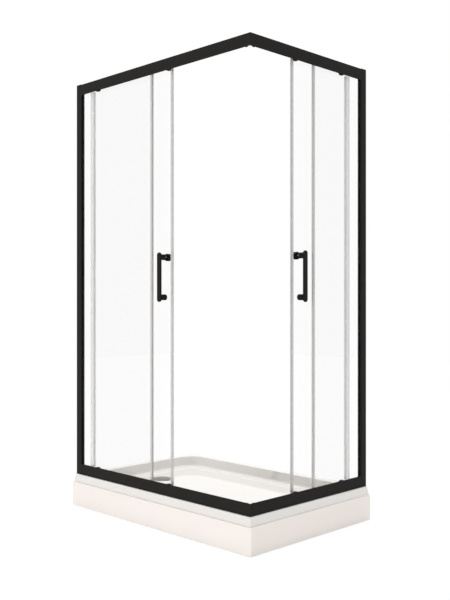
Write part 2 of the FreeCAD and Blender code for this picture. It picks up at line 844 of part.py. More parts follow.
def make_jamb(glazed):
    rib = dim.jamb_rib
    outer = [(dim.jamb_wall_gap, jamb_front), (jamb_edge, jamb_front), (jamb_edge, slot_front),
             (slot_bottom, slot_front), (slot_bottom, slot_back), (jamb_edge, slot_back),
             (jamb_edge, jamb_back), (dim.jamb_wall_gap, jamb_back)]
    hollow = [(slot_bottom + rib, slot_back + rib), (jamb_edge - rib, slot_back + rib),
              (jamb_edge - rib, jamb_back - rib), (slot_bottom + rib, jamb_back - rib)]
    loops = [from_wall(glazed, outer), from_wall(glazed, hollow)]
    bar = glazed.upright(loops, bottom_edge, top_edge)
    node(cut(bar, *jamb_screws(glazed, dim.screw_clearance)), glazed.name + "_jamb")


for glazed in SIDES:
    make_wall_profile(glazed)
    make_jamb(glazed)


# Rails: one section, used upright at the top and turned over at the bottom, mitred at the corner
RAIL_LEVELS = (("top", top_edge, UP), ("bottom", bottom_edge, DOWN))
connector_base = dim.pane_insertion + dim.pane_gasket_base + dim.connector_gap
pocket_middle = (dim.rail_wall + web_front) / 2


def level(edge, direction, rise):
    """The height of a place in a rail, counted from the rail's open edge."""
    return edge + rise if direction == UP else edge - rise


def span(edge, direction, rise0, rise1):
    """Two places in a rail as a lower and an upper height."""
    heights = (level(edge, direction, measure(rise0)), level(edge, direction, measure(rise1)))
    return heights if direction == UP else heights[::-1]


def rail_end(glazed):
    return glazed.run - dim.wall_profile_width - dim.rail_end_gap


def rail_screw_places(glazed):
    """Distances along a rail of the screws into the corner connector and into the end plug."""
    return dim.connector_reach - dim.screw_end_distance, rail_end(glazed) - dim.screw_end_distance


def rail_screws(glazed, edge, direction, clearance):
    pieces = []
    turn = Rotation(Vector(0, 0, 1), Vector(0, 0, -direction))
    for s in rail_screw_places(glazed):
        x, y = glazed.point(s, pocket_middle)
        face = level(edge, direction, dim.rail_height)
        pieces.append(countersunk(dim.screw_radius + clearance, dim.screw_head_radius + clearance,
                                  dim.rail_wall, dim.screw_length, x, y, face, turn))
    return pieces


def make_rail(glazed, name, edge, direction):
    wall = dim.rail_wall
    inner_face = rail_depth - wall
    section = [(ZERO, ZERO), (wall, ZERO), (wall, rail_inner), (web_front, rail_inner),
               (web_front, dim.web_gap), (web_back, dim.web_gap), (web_back, rail_inner),
               (inner_face, rail_inner), (inner_face, track_top), (track_front, track_top),
               (track_front, dim.track_rise), (rail_depth, dim.track_rise),
               (rail_depth, dim.rail_height), (ZERO, dim.rail_height)]
    outline = [(q, level(edge, direction, rise)) for q, rise in section]
    bar = glazed.section_bar(outline, ZERO, rail_end(glazed))
    top = span(edge, direction, ZERO, dim.rail_height)[1]
    mitre = new_sketch(bar, "XY_Plane", top)
    corner = ((ZERO, ZERO), (ZERO, rail_depth), (rail_depth, rail_depth))
    draw_polygon(mitre, [glazed.point(s, q) for s, q in corner])
    pocket(bar, mitre, dim.rail_height)
    drills = rail_screws(glazed, edge, direction, dim.screw_clearance)
    node(cut(bar, *drills), "%s_%s_rail" % (glazed.name, name))


for name, edge, direction in RAIL_LEVELS:
    for glazed in SIDES:
        make_rail(glazed, name, edge, direction)


# Connectors inside the rails, and every frame screw
def make_corner_connector(edge, direction):
    """An L-shaped block in the outer pocket of two rails."""
    near = dim.rail_wall
    far = web_front
    reach = dim.connector_reach
    z0, z1 = span(edge, direction, connector_base, rail_inner)
    outline = [(near, near), (reach, near), (reach, far), (far, far), (far, reach), (near, reach)]
    block = front.upright([outline], z0, z1)
    drills = []
    for glazed in SIDES:
        drills += rail_screws(glazed, edge, direction, dim.screw_clearance)[:1]
    return cut(block, *drills)


def make_end_plug(glazed, edge, direction):
    """A plug from the rail's outer pocket into the wall profile, against the end of the jamb."""
    inside = rail_end(glazed) - dim.plug_reach
    outside = glazed.run - dim.jamb_wall_gap
    tongue = glazed.block(inside, outside, jamb_front, web_front,
                          *span(edge, direction, connector_base, rail_inner))
    foot = glazed.block(glazed.run - slot_bottom, outside, jamb_front, web_front,
                        *span(edge, direction, ZERO, connector_base))
    drill = rail_screws(glazed, edge, direction, dim.screw_clearance)[1]
    return cut(fuse(tongue, foot), drill)


def make_connectors():
    connectors = []
    screws = []
    for _, edge, direction in RAIL_LEVELS:
        connectors.append(make_corner_connector(edge, direction))
        for glazed in SIDES:
            connectors.append(make_end_plug(glazed, edge, direction))
            screws += rail_screws(glazed, edge, direction, ZERO)
    for glazed in SIDES:
        screws += jamb_screws(glazed, ZERO)
    node(group(connectors), "rail_connectors")
    node(group(screws), "frame_screws")


make_connectors()


# Fixed panes with their gaskets and edge seals
pane_bottom = bottom_edge - dim.pane_insertion
pane_top = top_edge + dim.pane_insertion
pane_root = slot_bottom + dim.pane_gasket_wall


def make_fixed_pane(glazed):
    edge = glazed.pane_edge
    wall = dim.pane_seal_wall
    glass_edge = edge + wall
    glass = glazed.block(glass_edge, glazed.run - pane_root, pane_front, pane_back, pane_bottom, pane_top)
    node(glass, glazed.name + "_fixed_pane")
    outer = pane_front - wall
    inner = pane_back + wall
    end = glass_edge + dim.pane_seal_grip
    outline = [(edge, outer), (end, outer), (end, pane_front), (glass_edge, pane_front),
               (glass_edge, pane_back), (end, pane_back), (end, inner), (edge, inner)]
    node(glazed.upright([outline], seal_bottom, seal_top), glazed.name + "_pane_seal")


def make_gaskets():
    strips = []
    for glazed in SIDES:
        start = glazed.pane_edge + dim.pane_seal_wall
        for _, edge, direction in RAIL_LEVELS:
            base = dim.pane_insertion + dim.pane_gasket_base
            legs = dim.pane_insertion - dim.pane_gasket_legs
            section = [(dim.rail_wall, legs), (pane_front, legs), (pane_front, dim.pane_insertion),
                       (pane_back, dim.pane_insertion), (pane_back, legs), (web_front, legs),
                       (web_front, base), (dim.rail_wall, base)]
            outline = [(q, level(edge, direction, rise)) for q, rise in section]
            strips.append(glazed.section_bar(outline, start, rail_end(glazed)))
        lining = [(slot_bottom, slot_front), (jamb_edge, slot_front), (jamb_edge, pane_front),
                  (pane_root, pane_front), (pane_root, pane_back), (jamb_edge, pane_back),
                  (jamb_edge, slot_back), (slot_bottom, slot_back)]
        strips.append(glazed.upright([from_wall(glazed, lining)], bottom_edge, top_edge))
    node(group(strips), "pane_gaskets")


for glazed in SIDES:
    make_fixed_pane(glazed)
make_gaskets()


# Sliding doors, built fully open; each closes by sliding towards the corner
door_bottom = bottom_edge - dim.door_insertion
door_top = top_edge + dim.door_insertion


def roller_places(glazed):
    """Where the leading and the trailing rollers of the open door are, clear of the door's edge seals."""
    lead = glazed.open_lead + seal_head + dim.door_seal_grip + dim.roller_lead_gap + dim.cap_radius
    trail = glazed.open_tip - dim.fin_reach - dim.door_seal_grip - dim.roller_trail_gap - dim.cap_radius
    return {"lead": lead, "trail": trail}


def handle_posts(glazed):
    """The post axis along the door, and the heights of the upper and the lower post."""
    half = dim.handle_spacing / 2
    return glazed.open_lead + dim.handle_lead, dim.handle_height + half, dim.handle_height - half


def make_door_glass(glazed):
    lead = glazed.open_lead + seal_head
    trail = glazed.open_tip - dim.fin_reach
    sheet_glass = glazed.block(lead, trail, door_front, door_back, door_bottom, door_top)
    holes = []
    for _, edge, direction in RAIL_LEVELS:
        z = level(edge, direction, dim.carrier_hole_rise)
        for s in roller_places(glazed).values():
            holes.append(glazed.rod(s, door_front, door_back, z, dim.spigot_radius + dim.spigot_clearance))
    s, upper, _ = handle_posts(glazed)
    holes.append(glazed.rod(s, door_front, door_back, upper, dim.bolt_radius + dim.bolt_glass_clearance))
    node(cut(sheet_glass, *holes), glazed.name + "_door_glass")


def magnet_outline(lead, ease):
    """The magnet strip in plan: it lies along the slanted face that meets the other door."""
    start = dim.magnet_start - ease
    stop = dim.magnet_start + dim.magnet_width + ease
    near = dim.magnet_cover - ease
    far = dim.magnet_cover + dim.magnet_thickness + ease
    return [(lead + (along + inward) * DIAGONAL, seal_front + (along - inward) * DIAGONAL)
            for along, inward in ((start, near), (stop, near), (stop, far), (start, far))]


def make_door_seals(glazed):
    lead = glazed.open_lead
    root = lead + seal_head
    grip = root + dim.door_seal_grip
    outline = [(lead, seal_front), (grip, seal_front), (grip, door_front), (root, door_front),
               (root, door_back), (grip, door_back), (grip, seal_back), (root, seal_back)]
    seal = glazed.upright([outline, magnet_outline(lead, dim.magnet_clearance)], seal_bottom, seal_top)
    node(seal, glazed.name + "_door_magnet_seal")
    strip = glazed.upright([magnet_outline(lead, ZERO)], seal_bottom, seal_top)
    node(strip, glazed.name + "_door_magnet_strip")

    tip = glazed.open_tip
    edge = tip - dim.fin_reach
    start = edge - dim.door_seal_grip
    fin_back = seal_front + dim.fin_thickness
    fin_root = edge + dim.fin_root
    outline = [(start, seal_front), (tip, seal_front), (tip, fin_back), (fin_root, fin_back),
               (fin_root, seal_back), (start, seal_back), (start, door_back), (edge, door_back),
               (edge, door_front), (start, door_front)]
    node(glazed.upright([outline], seal_bottom, seal_top), glazed.name + "_door_trailing_seal")


def make_handle(glazed):
    s, upper, lower = handle_posts(glazed)
    post_front = door_front - dim.handle_standoff
    post_back = door_front - dim.washer_thickness
    half = dim.handle_length / 2
    bar = glazed.rounded_plate(s, dim.handle_height - half, dim.handle_height + half, dim.handle_width,
                               post_front - dim.handle_thickness, post_front, dim.handle_rounding)
    node(bar, glazed.name + "_handle_bar")

    bolt_start = post_back - dim.bolt_reach
    bolt_hole = glazed.rod(s, bolt_start, post_back, upper, dim.bolt_radius + dim.bolt_clearance)
    grub_q = door_front - dim.grub_depth
    grub_turn = Rotation(Vector(0, 0, 1), Vector(1, 0, 0) if glazed.along_x else Vector(0, -1, 0))
    grub_s = s - dim.post_radius + dim.grub_length
    x, y = glazed.point(grub_s, grub_q)
    grub_hole = cylinder(dim.grub_radius + dim.bolt_clearance, dim.grub_length, x, y, upper, grub_turn)
    grub = cylinder(dim.grub_radius, dim.grub_length - dim.bolt_clearance * 4, x, y, upper, grub_turn)
    upper_post = cut(glazed.rod(s, post_front, post_back, upper, dim.post_radius), bolt_hole, grub_hole)
    lower_post = glazed.rod(s, post_front, post_back, lower, dim.post_radius)
    node(group([upper_post, lower_post]), glazed.name + "_handle_posts")

    washers = []
    for z in (upper, lower):
        ring = glazed.rod(s, post_back, door_front, z, dim.post_radius)
        bore = glazed.rod(s, post_back, door_front, z, dim.bolt_radius + dim.bolt_glass_clearance)
        washers.append(cut(ring, bore))
    node(group(washers), glazed.name + "_handle_washers")

    flange_start = door_back + dim.collar_boss_length
    collar_end = flange_start + dim.collar_flange_length
    boss = glazed.rod(s, door_back, flange_start, upper, dim.collar_boss_radius)
    flange = glazed.rod(s, flange_start, collar_end, upper, dim.collar_flange_radius)
    bolt_end = collar_end - dim.bolt_recess
    bore = glazed.rod(s, door_back, collar_end, upper, dim.bolt_radius + dim.bolt_clearance)
    node(cut(fuse(boss, flange), bore), glazed.name + "_handle_collar")
    bolt = glazed.rod(s, bolt_start, bolt_end, upper, dim.bolt_radius)
    node(group([bolt, grub]), glazed.name + "_handle_screws")


def make_rollers(glazed):
    carriers = []
    caps = []
    axles = []
    for name, edge, direction in RAIL_LEVELS:
        hole_z = level(edge, direction, dim.carrier_hole_rise)
        axle_z = level(edge, direction, axle_rise)
        for end, s in roller_places(glazed).items():
            radius = dim.carrier_radius
            low, high = span(edge, direction, dim.carrier_hole_rise, axle_rise)
            plate = fuse(glazed.rod(s, door_back, carrier_back, hole_z, radius),
                         glazed.rod(s, door_back, carrier_back, axle_z, radius),
                         glazed.block(s - radius, s + radius, door_back, carrier_back, low, high))
            socket = glazed.rod(s, door_back, carrier_back, hole_z, dim.spigot_radius + dim.bolt_clearance)
            axle_hole = glazed.rod(s, door_back, carrier_back, axle_z, dim.axle_radius + dim.bolt_clearance)
            carriers.append(cut(plate, socket, axle_hole))
            x, y = glazed.point(s, cap_front + dim.cap_bevel)
            bevel = cone(dim.cap_radius, dim.cap_radius - dim.cap_bevel, dim.cap_bevel, x, y, hole_z,
                         glazed.outward)
            disc = glazed.rod(s, cap_front + dim.cap_bevel, door_front, hole_z, dim.cap_radius)
            spigot = glazed.rod(s, door_front, carrier_back, hole_z, dim.spigot_radius)
            caps.append(fuse(bevel, disc, spigot))
            shank_end = wheel_back + dim.axle_float
            shank = glazed.rod(s, door_back, shank_end, axle_z, dim.axle_radius)
            head = glazed.rod(s, shank_end, axle_end, axle_z, dim.axle_head_radius)
            shoulder = glazed.rod(s, carrier_back, wheel_front - dim.axle_float, axle_z, dim.axle_head_radius)
            axles.append(fuse(shank, head, shoulder))
            make_wheel(glazed, s, axle_z, "%s_door_%s_%s_wheel" % (glazed.name, name, end))
    node(group(carriers), glazed.name + "_door_roller_carriers")
    node(group(caps), glazed.name + "_door_roller_caps")
    node(group(axles), glazed.name + "_door_roller_axles")


def make_wheel(glazed, s, z, label):
    """A turned wheel: a tyre rim and a hub with a thinner disc between them."""
    body = new_body()
    sketch = new_sketch(body, "XZ_Plane", ZERO)
    bore = dim.axle_radius + dim.axle_clearance
    hub = dim.wheel_hub_radius
    rim = dim.wheel_radius - dim.wheel_rim
    width = dim.wheel_width
    recess = dim.wheel_recess
    outline = [(bore, ZERO), (hub, ZERO), (hub, recess), (rim, recess), (rim, ZERO),
               (dim.wheel_radius, ZERO), (dim.wheel_radius, width), (rim, width), (rim, width - recess),
               (hub, width - recess), (hub, width), (bore, width)]
    draw_polygon(sketch, outline)
    turned = body.newObject("PartDesign::Revolution", "Turned")
    turned.Profile = sketch
    turned.ReferenceAxis = (sketch, ["V_Axis"])
    turned.Angle = 360
    x, y = glazed.point(s, wheel_back)
    place(body, x, y, z, glazed.outward)
    node(body, label)


for glazed in SIDES:
    make_door_glass(glazed)
    make_door_seals(glazed)
    make_handle(glazed)
    make_rollers(glazed)


# Rubber stops in the rails, in line with the roller caps
def make_stops():
    stops = []
    back = seal_front - dim.stop_seal_gap
    reach = dim.cap_radius + dim.stop_clearance
    for glazed in SIDES:
        places = roller_places(glazed)
        closed = places["lead"] - glazed.open_lead + glazed.closed_lead - reach
        opened = places["trail"] + reach
        for _, edge, direction in RAIL_LEVELS:
            stops.append(glazed.block(closed - dim.stop_length, closed, web_back, back,
                                      *span(edge, direction, dim.stop_low, dim.stop_rise)))
            stops.append(glazed.block(opened, opened + dim.stop_length, web_back, back,
                                      *span(edge, direction, dim.web_gap, dim.stop_rise)))
    node(group(stops), "rail_stops")


make_stops()


def check_and_write():
    """Stops if any object failed; otherwise writes every piece to its own file."""
    doc.recompute()
    for obj in doc.Objects:
        if "Invalid" in obj.State or "Error" in obj.State:
            raise RuntimeError("%s (%s) failed: %s" % (obj.Name, obj.Label, obj.State))
    os.makedirs("parts", exist_ok=True)
    for piece in nodes:
        if piece.Shape.isNull() or not piece.Shape.isValid():
            raise RuntimeError("%s has no valid shape" % piece.Label)
    for piece in nodes:
        piece.Shape.exportStep("parts/%s.step" % piece.Label)
        print("%-34s %3d solids %12.0f mm3" % (piece.Label, len(piece.Shape.Solids), piece.Shape.Volume))
    print(len(nodes), "pieces")


check_and_write()
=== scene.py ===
# %% [markdown]
# # A corner-entry shower enclosure
#
# The engineering model already holds every solid of the enclosure in its place: tray, rails, panes, doors
# and rollers. This lesson loads it as a fixed frame and gives it its looks. A piece whose solid is right
# keeps it and gets a finish. A piece that needs softer edges or finer detail gets a new mesh, which
# stands for the solid or is added to it.

# %% Load the frame
import json
import math

import bmesh
import bpy
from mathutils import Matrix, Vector


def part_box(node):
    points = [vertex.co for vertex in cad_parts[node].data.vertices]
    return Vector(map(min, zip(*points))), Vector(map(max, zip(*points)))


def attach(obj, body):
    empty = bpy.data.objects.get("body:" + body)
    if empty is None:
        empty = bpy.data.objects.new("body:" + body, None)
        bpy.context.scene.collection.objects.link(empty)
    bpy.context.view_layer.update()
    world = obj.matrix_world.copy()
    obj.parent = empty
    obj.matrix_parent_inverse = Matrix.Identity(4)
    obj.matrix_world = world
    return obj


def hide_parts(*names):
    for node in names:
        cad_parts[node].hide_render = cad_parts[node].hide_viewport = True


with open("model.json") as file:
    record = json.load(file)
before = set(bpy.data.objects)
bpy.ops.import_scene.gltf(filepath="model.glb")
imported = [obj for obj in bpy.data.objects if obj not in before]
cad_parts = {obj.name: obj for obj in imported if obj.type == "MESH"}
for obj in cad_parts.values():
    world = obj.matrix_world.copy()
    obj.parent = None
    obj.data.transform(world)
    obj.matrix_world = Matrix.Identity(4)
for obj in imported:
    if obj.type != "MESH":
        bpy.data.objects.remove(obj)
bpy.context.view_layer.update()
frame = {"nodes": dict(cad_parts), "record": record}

nodes = frame["nodes"]
bodies = frame["record"]["behaviour"]["bodies"]
body_of = {node: body for body, members in bodies.items() for node in members}
SIDES = ("front", "side")

# %% [markdown]
# ## The camera
#
# The camera comes first, because every later choice is judged through it. It stands level, about a metre
# up, and looks along the diagonal of the corner. A 50 mm lens on a 36 mm sensor gives the calm
# perspective of a catalogue picture, and a level camera keeps the uprights parallel without any shift.

# %% Camera
LENS_MM, SENSOR_MM = 50.0, 36.0
VIEW_REACH = 60.0
CAMERA_PLACE = Vector((2.8314, -2.7726, 1.0066))
VIEW_DIRECTION = Vector((-1.0, 1.0, 0.0))

camera_data = bpy.data.cameras.new("catalogue_camera")
camera_data.lens = LENS_MM
camera_data.sensor_width = SENSOR_MM
camera_data.clip_end = VIEW_REACH
camera = bpy.data.objects.new("catalogue_camera", camera_data)
camera.location = CAMERA_PLACE
camera.rotation_euler = VIEW_DIRECTION.to_track_quat("-Z", "Y").to_euler()
bpy.context.scene.collection.objects.link(camera)
bpy.context.scene.camera = camera
print("camera at", [round(v, 3) for v in camera.location])

# %% [markdown]
# ## Helpers for node trees
#
# Materials and Geometry Nodes are both trees of nodes, so two small helpers serve them all. The first
# adds a node, sets its plain values and links its sockets in one call. The second does the same for a
# calculation with two numbers.

# %% Node helpers
def add_step(tree, kind, sockets, **settings):
    """Adds a node and gives its outputs; a socket gets a link, a list of links or a plain value."""
    step = tree.nodes.new(kind)
    for name, value in settings.items():
        setattr(step, name, value)
    for name, value in sockets.items():
        sources = value if isinstance(value, list) else [value]
        for source in sources:
            if isinstance(source, bpy.types.NodeSocket):
                tree.links.new(source, step.inputs[name])
            else:
                step.inputs[name].default_value = source
    return step.outputs


def number(tree, operation, first, second):
    return add_step(tree, "ShaderNodeMath", {0: first, 1: second}, operation=operation)["Value"]


print("node helpers ready")

# %% [markdown]
# ## Helpers for finishes
#
# Every finish below is a small node tree: a pattern on Object coordinates changes the colour, the
# roughness and the fine relief of one Principled shader. The pieces all sit at the origin with their
# places in their meshes, so Object coordinates are real metres, and a scale of 500 means blotches about
# two millimetres wide. Most of the noise lies between 0.3 and 0.7, so that range is stretched over the
# whole change of gloss.

# %% Finish helpers
NOISE_LOW, NOISE_HIGH = 0.3, 0.7


def new_finish(name):
    finish = bpy.data.materials.new(name)
    finish.use_nodes = True
    return finish, finish.node_tree, finish.node_tree.nodes["Principled BSDF"]


def noise(tree, scale, detail=2.0, stretch=(1.0, 1.0, 1.0)):
    """A cloudy pattern between 0 and 1; stretch makes it longer or shorter along an axis."""
    place = add_step(tree, "ShaderNodeTexCoord", {})["Object"]
    scaled = add_step(tree, "ShaderNodeMapping", {"Vector": place, "Scale": stretch})["Vector"]
    return add_step(tree, "ShaderNodeTexNoise", {"Vector": scaled, "Scale": scale, "Detail": detail})["Fac"]


def vary_colour(tree, shader, pattern, first, second):
    """Lets the base colour wander between two near colours."""
    mix = tree.nodes.new("ShaderNodeMix")
    mix.data_type = "RGBA"
    colours = [socket for socket in mix.inputs if socket.type == "RGBA"]
    colours[0].default_value = (*first, 1.0)
    colours[1].default_value = (*second, 1.0)
    tree.links.new(pattern, mix.inputs["Factor"])
    result = [socket for socket in mix.outputs if socket.type == "RGBA"][0]
    tree.links.new(result, shader.inputs["Base Color"])


def vary_roughness(tree, shader, pattern, low, high):
    """Lets the gloss wander between two values."""
    spread = add_step(tree, "ShaderNodeMapRange",
                      {"Value": pattern, "From Min": NOISE_LOW, "From Max": NOISE_HIGH,
                       "To Min": low, "To Max": high})["Result"]
    tree.links.new(spread, shader.inputs["Roughness"])


def add_relief(tree, shader, pattern, height):
    """Fine relief; height is the depth of the pattern in metres."""
    relief = add_step(tree, "ShaderNodeBump", {"Height": pattern, "Distance": height})["Normal"]
    tree.links.new(relief, shader.inputs["Normal"])


def dress(finish, *names):
    """Gives a finish to solids that keep their shape."""
    for name in names:
        for slot in nodes[name].material_slots:
            slot.material = finish


print("finish helpers ready")

# %% [markdown]
# ## Black powder coat
#
# The rails and wall profiles are aluminium extrusions with a matt black powder coat. Baked powder is
# never quite flat: it has a fine orange peel about a millimetre across. A plain dark colour would look
# like a cut-out, so noise drives three effects here, a slight change of black, of gloss, and a relief of
# a few hundredths of a millimetre that breaks up the highlights. The handles are satin, the roller parts
# moulded plastic, the stops rubber and the magnet strips a greyer rubber: the same recipe with other
# numbers.

# %% Black finishes
COAT_DETAIL = 3.0
COAT_GLOSS_SCALE = 40.0


def black_coat(name, tones, gloss, shine, grain, relief):
    finish, tree, shader = new_finish(name)
    vary_colour(tree, shader, noise(tree, grain, COAT_DETAIL), *tones)
    vary_roughness(tree, shader, noise(tree, COAT_GLOSS_SCALE), *gloss)
    add_relief(tree, shader, noise(tree, grain), relief)
    shader.inputs["Specular IOR Level"].default_value = shine
    return finish


powder_coat = black_coat("powder_coat_black", tones=((0.0185, 0.0177, 0.0166), (0.0215, 0.0206, 0.0194)),
                         gloss=(0.50, 0.62), shine=0.05, grain=900.0, relief=0.00002)
satin_black = black_coat("satin_black", tones=((0.0145, 0.0140, 0.0132), (0.0172, 0.0166, 0.0157)),
                         gloss=(0.40, 0.50), shine=0.04, grain=1400.0, relief=0.000008)
black_moulding = black_coat("black_moulding", tones=((0.0130, 0.0127, 0.0123), (0.0165, 0.0162, 0.0158)),
                            gloss=(0.45, 0.60), shine=0.10, grain=2200.0, relief=0.00002)
black_rubber = black_coat("black_rubber", tones=((0.0120, 0.0118, 0.0115), (0.0160, 0.0157, 0.0152)),
                          gloss=(0.70, 0.85), shine=0.08, grain=1800.0, relief=0.00003)
magnet_rubber = black_coat("magnet_rubber", tones=((0.0450, 0.0400, 0.0370), (0.0600, 0.0540, 0.0500)),
                           gloss=(0.60, 0.75), shine=0.30, grain=1500.0, relief=0.00002)
print("black finishes made")

# %% [markdown]
# ## Acrylic and white plastic
#
# The tray is a sheet of acrylic drawn over a mould and backed with resin, so it is glossy and slightly
# wavy.
# The wave is broad and very low: too strong, and it would look like water. The apron panels are the same
# sheet with a duller face. The tray's white has a warm tint and the aprons' a warmer one: this is painted
# warm light, the warm light that falls on the lip and the aprons from below, put into their colours. The
# wheels and the trap are white mouldings.

# %% White finishes
TONE_SCALE, GLOSS_SCALE = 7.0, 25.0
WAVE_SCALE, WAVE_DETAIL = 18.0, 1.0


def white_sheet(name, tones, gloss, shine, wave):
    finish, tree, shader = new_finish(name)
    vary_colour(tree, shader, noise(tree, TONE_SCALE), *tones)
    vary_roughness(tree, shader, noise(tree, GLOSS_SCALE), *gloss)
    add_relief(tree, shader, noise(tree, WAVE_SCALE, WAVE_DETAIL), wave)
    shader.inputs["Specular IOR Level"].default_value = shine
    return finish


# painted warm light: the warm tint of this white stands in for warm light falling on the tray's lip
tray_acrylic = white_sheet("tray_acrylic", tones=((0.832, 0.804, 0.772), (0.848, 0.820, 0.790)),
                           gloss=(0.02, 0.05), shine=0.95, wave=0.00004)
# painted warm light: the aprons' warmer tone stands in for the warm light that falls on them from below
apron_acrylic = white_sheet("apron_acrylic", tones=((0.930, 0.868, 0.820), (0.945, 0.885, 0.838)),
                            gloss=(0.30, 0.40), shine=0.50, wave=0.00008)
white_moulding = white_sheet("white_moulding", tones=((0.760, 0.755, 0.740), (0.800, 0.795, 0.780)),
                             gloss=(0.35, 0.48), shine=0.50, wave=0.00005)
print("white finishes made")

# %% [markdown]
# ## Clear glass and soft seals
#
# A glass shader alone would stop the lamps, because light that bends through glass is costly to trace.
# The usual way is to let shadow rays pass through a Transparent shader and to show the glass shader to
# all other rays. Solid glass has an IOR of 1.5, but in a white studio each pane would then lay a grey
# veil over the black parts behind it. These panes should look almost free of reflection, so their IOR is
# set much lower: a choice for the look, not a measured value. The seals are soft clear plastic that
# scatters light inside: they are drawn as a pale surface that only partly covers what is behind it, with
# streaks along their length.

# %% Clear finishes
STREAK_SCALE, STREAK_STRETCH = 30.0, (1.0, 1.0, 0.2)
SEAL_GLOSS_SCALE, SEAL_GLOSS = 60.0, (0.22, 0.32)


def clear_sheet(name, tint, ior):
    finish, tree, shader = new_finish(name)
    shader.inputs["Base Color"].default_value = (*tint, 1.0)
    shader.inputs["Roughness"].default_value = 0.0
    shader.inputs["IOR"].default_value = ior
    shader.inputs["Transmission Weight"].default_value = 1.0
    passing = add_step(tree, "ShaderNodeBsdfTransparent", {"Color": (*tint, 1.0)})["BSDF"]
    shadow = add_step(tree, "ShaderNodeLightPath", {})["Is Shadow Ray"]
    choice = add_step(tree, "ShaderNodeMixShader", {"Fac": shadow, 1: shader.outputs["BSDF"], 2: passing})
    tree.links.new(choice["Shader"], tree.nodes["Material Output"].inputs["Surface"])
    return finish


def soft_seal(name, tones, cover):
    finish, tree, shader = new_finish(name)
    vary_colour(tree, shader, noise(tree, STREAK_SCALE, stretch=STREAK_STRETCH), *tones)
    vary_roughness(tree, shader, noise(tree, SEAL_GLOSS_SCALE), *SEAL_GLOSS)
    shader.inputs["Alpha"].default_value = cover
    return finish


clear_glass = clear_sheet("clear_glass", tint=(0.970, 0.971, 0.970), ior=1.15)
seal_plastic = soft_seal("seal_plastic", tones=((0.72, 0.70, 0.68), (0.77, 0.75, 0.73)), cover=0.58)
fin_plastic = soft_seal("fin_plastic", tones=((0.70, 0.69, 0.68), (0.76, 0.75, 0.74)), cover=0.35)
print("clear finishes made")

# %% [markdown]
# ## Bright metal
#
# Chrome on the drain, zinc on the screws and studs, and galvanised steel on the bearers. Zinc cools into
# crystals, the spangle that a Voronoi pattern draws well; the other metals get fine drawn lines or faint
# polishing marks from noise.

# %% Metal finishes
MARK_DETAIL = 4.0
SPANGLE_SCALE = 120.0
DULL_METAL = 0.9


def bright_metal(name, tones, gloss, grain, stretch=(1.0, 1.0, 1.0)):
    finish, tree, shader = new_finish(name)
    shader.inputs["Metallic"].default_value = 1.0
    marks = noise(tree, grain, MARK_DETAIL, stretch)
    vary_colour(tree, shader, marks, *tones)
    vary_roughness(tree, shader, marks, *gloss)
    return finish


def spangled_metal(name, tones, gloss):
    finish, tree, shader = new_finish(name)
    shader.inputs["Metallic"].default_value = DULL_METAL
    place = add_step(tree, "ShaderNodeTexCoord", {})["Object"]
    spangle = add_step(tree, "ShaderNodeTexVoronoi", {"Vector": place, "Scale": SPANGLE_SCALE})["Color"]
    level = add_step(tree, "ShaderNodeSeparateColor", {"Color": spangle})
    vary_colour(tree, shader, level["Red"], *tones)
    vary_roughness(tree, shader, level["Green"], *gloss)
    return finish


chrome = bright_metal("chrome", tones=((0.88, 0.88, 0.88), (0.93, 0.93, 0.93)), gloss=(0.05, 0.11),
                      grain=300.0)
zinc = bright_metal("zinc_plate", tones=((0.52, 0.52, 0.51), (0.62, 0.62, 0.60)), gloss=(0.28, 0.40),
                    grain=900.0, stretch=(1.0, 1.0, 0.3))
galvanised = spangled_metal("galvanised_steel", tones=((0.36, 0.37, 0.38), (0.52, 0.53, 0.54)),
                            gloss=(0.38, 0.55))
print("metal finishes made")

# %% [markdown]
# ## Helpers for new pieces
#
# A new piece is a mesh object at the origin that rides on a body of the model and, in most cases, stands
# for a solid. Some pieces are copies of a solid with eased edges: the copy is welded first, because the
# solid comes as loose triangles, and only its long edges get a weight for the Bevel modifier.

# %% Piece helpers
WELD_DISTANCE = 1e-6
FLAT_ANGLE, EDGE_ANGLE = 0.5, 30
BEVEL_STEPS = 3


def new_piece(name, mesh, finish, slot_name, body, *stands_for):
    mesh.name = name
    mesh.materials.clear()
    mesh.materials.append(finish)
    piece = bpy.data.objects.new(name, mesh)
    bpy.context.scene.collection.objects.link(piece)
    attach(piece, body)
    if stands_for:
        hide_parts(*stands_for)
    return piece


def smooth_mesh(mesh, angle):
    """Smooth shading that stops at edges sharper than the angle."""
    mesh.shade_smooth()
    mesh.set_sharp_from_angle(angle=math.radians(angle))


def outward_faces(mesh):
    """Turns all faces of a closed shell outwards."""
    shell = bmesh.new()
    shell.from_mesh(mesh)
    bmesh.ops.recalc_face_normals(shell, faces=shell.faces)
    shell.to_mesh(mesh)
    shell.free()


print("piece helpers ready")

# %% Eased copies
def welded_copy(node, shortest):
    """A copy of a solid's mesh in one piece, with a bevel weight on its long sharp edges."""
    mesh = nodes[node].data.copy()
    if "custom_normal" in mesh.attributes:
        mesh.attributes.remove(mesh.attributes["custom_normal"])
    shell = bmesh.new()
    shell.from_mesh(mesh)
    bmesh.ops.remove_doubles(shell, verts=shell.verts, dist=WELD_DISTANCE)
    bmesh.ops.dissolve_limit(shell, angle_limit=math.radians(FLAT_ANGLE), verts=shell.verts,
                             edges=shell.edges)
    weight = shell.edges.layers.float.new("bevel_weight_edge")
    for edge in shell.edges:
        turned = len(edge.link_faces) == 2 and edge.calc_face_angle() > math.radians(EDGE_ANGLE)
        edge[weight] = 1.0 if turned and edge.calc_length() > shortest else 0.0
    shell.to_mesh(mesh)
    shell.free()
    return mesh


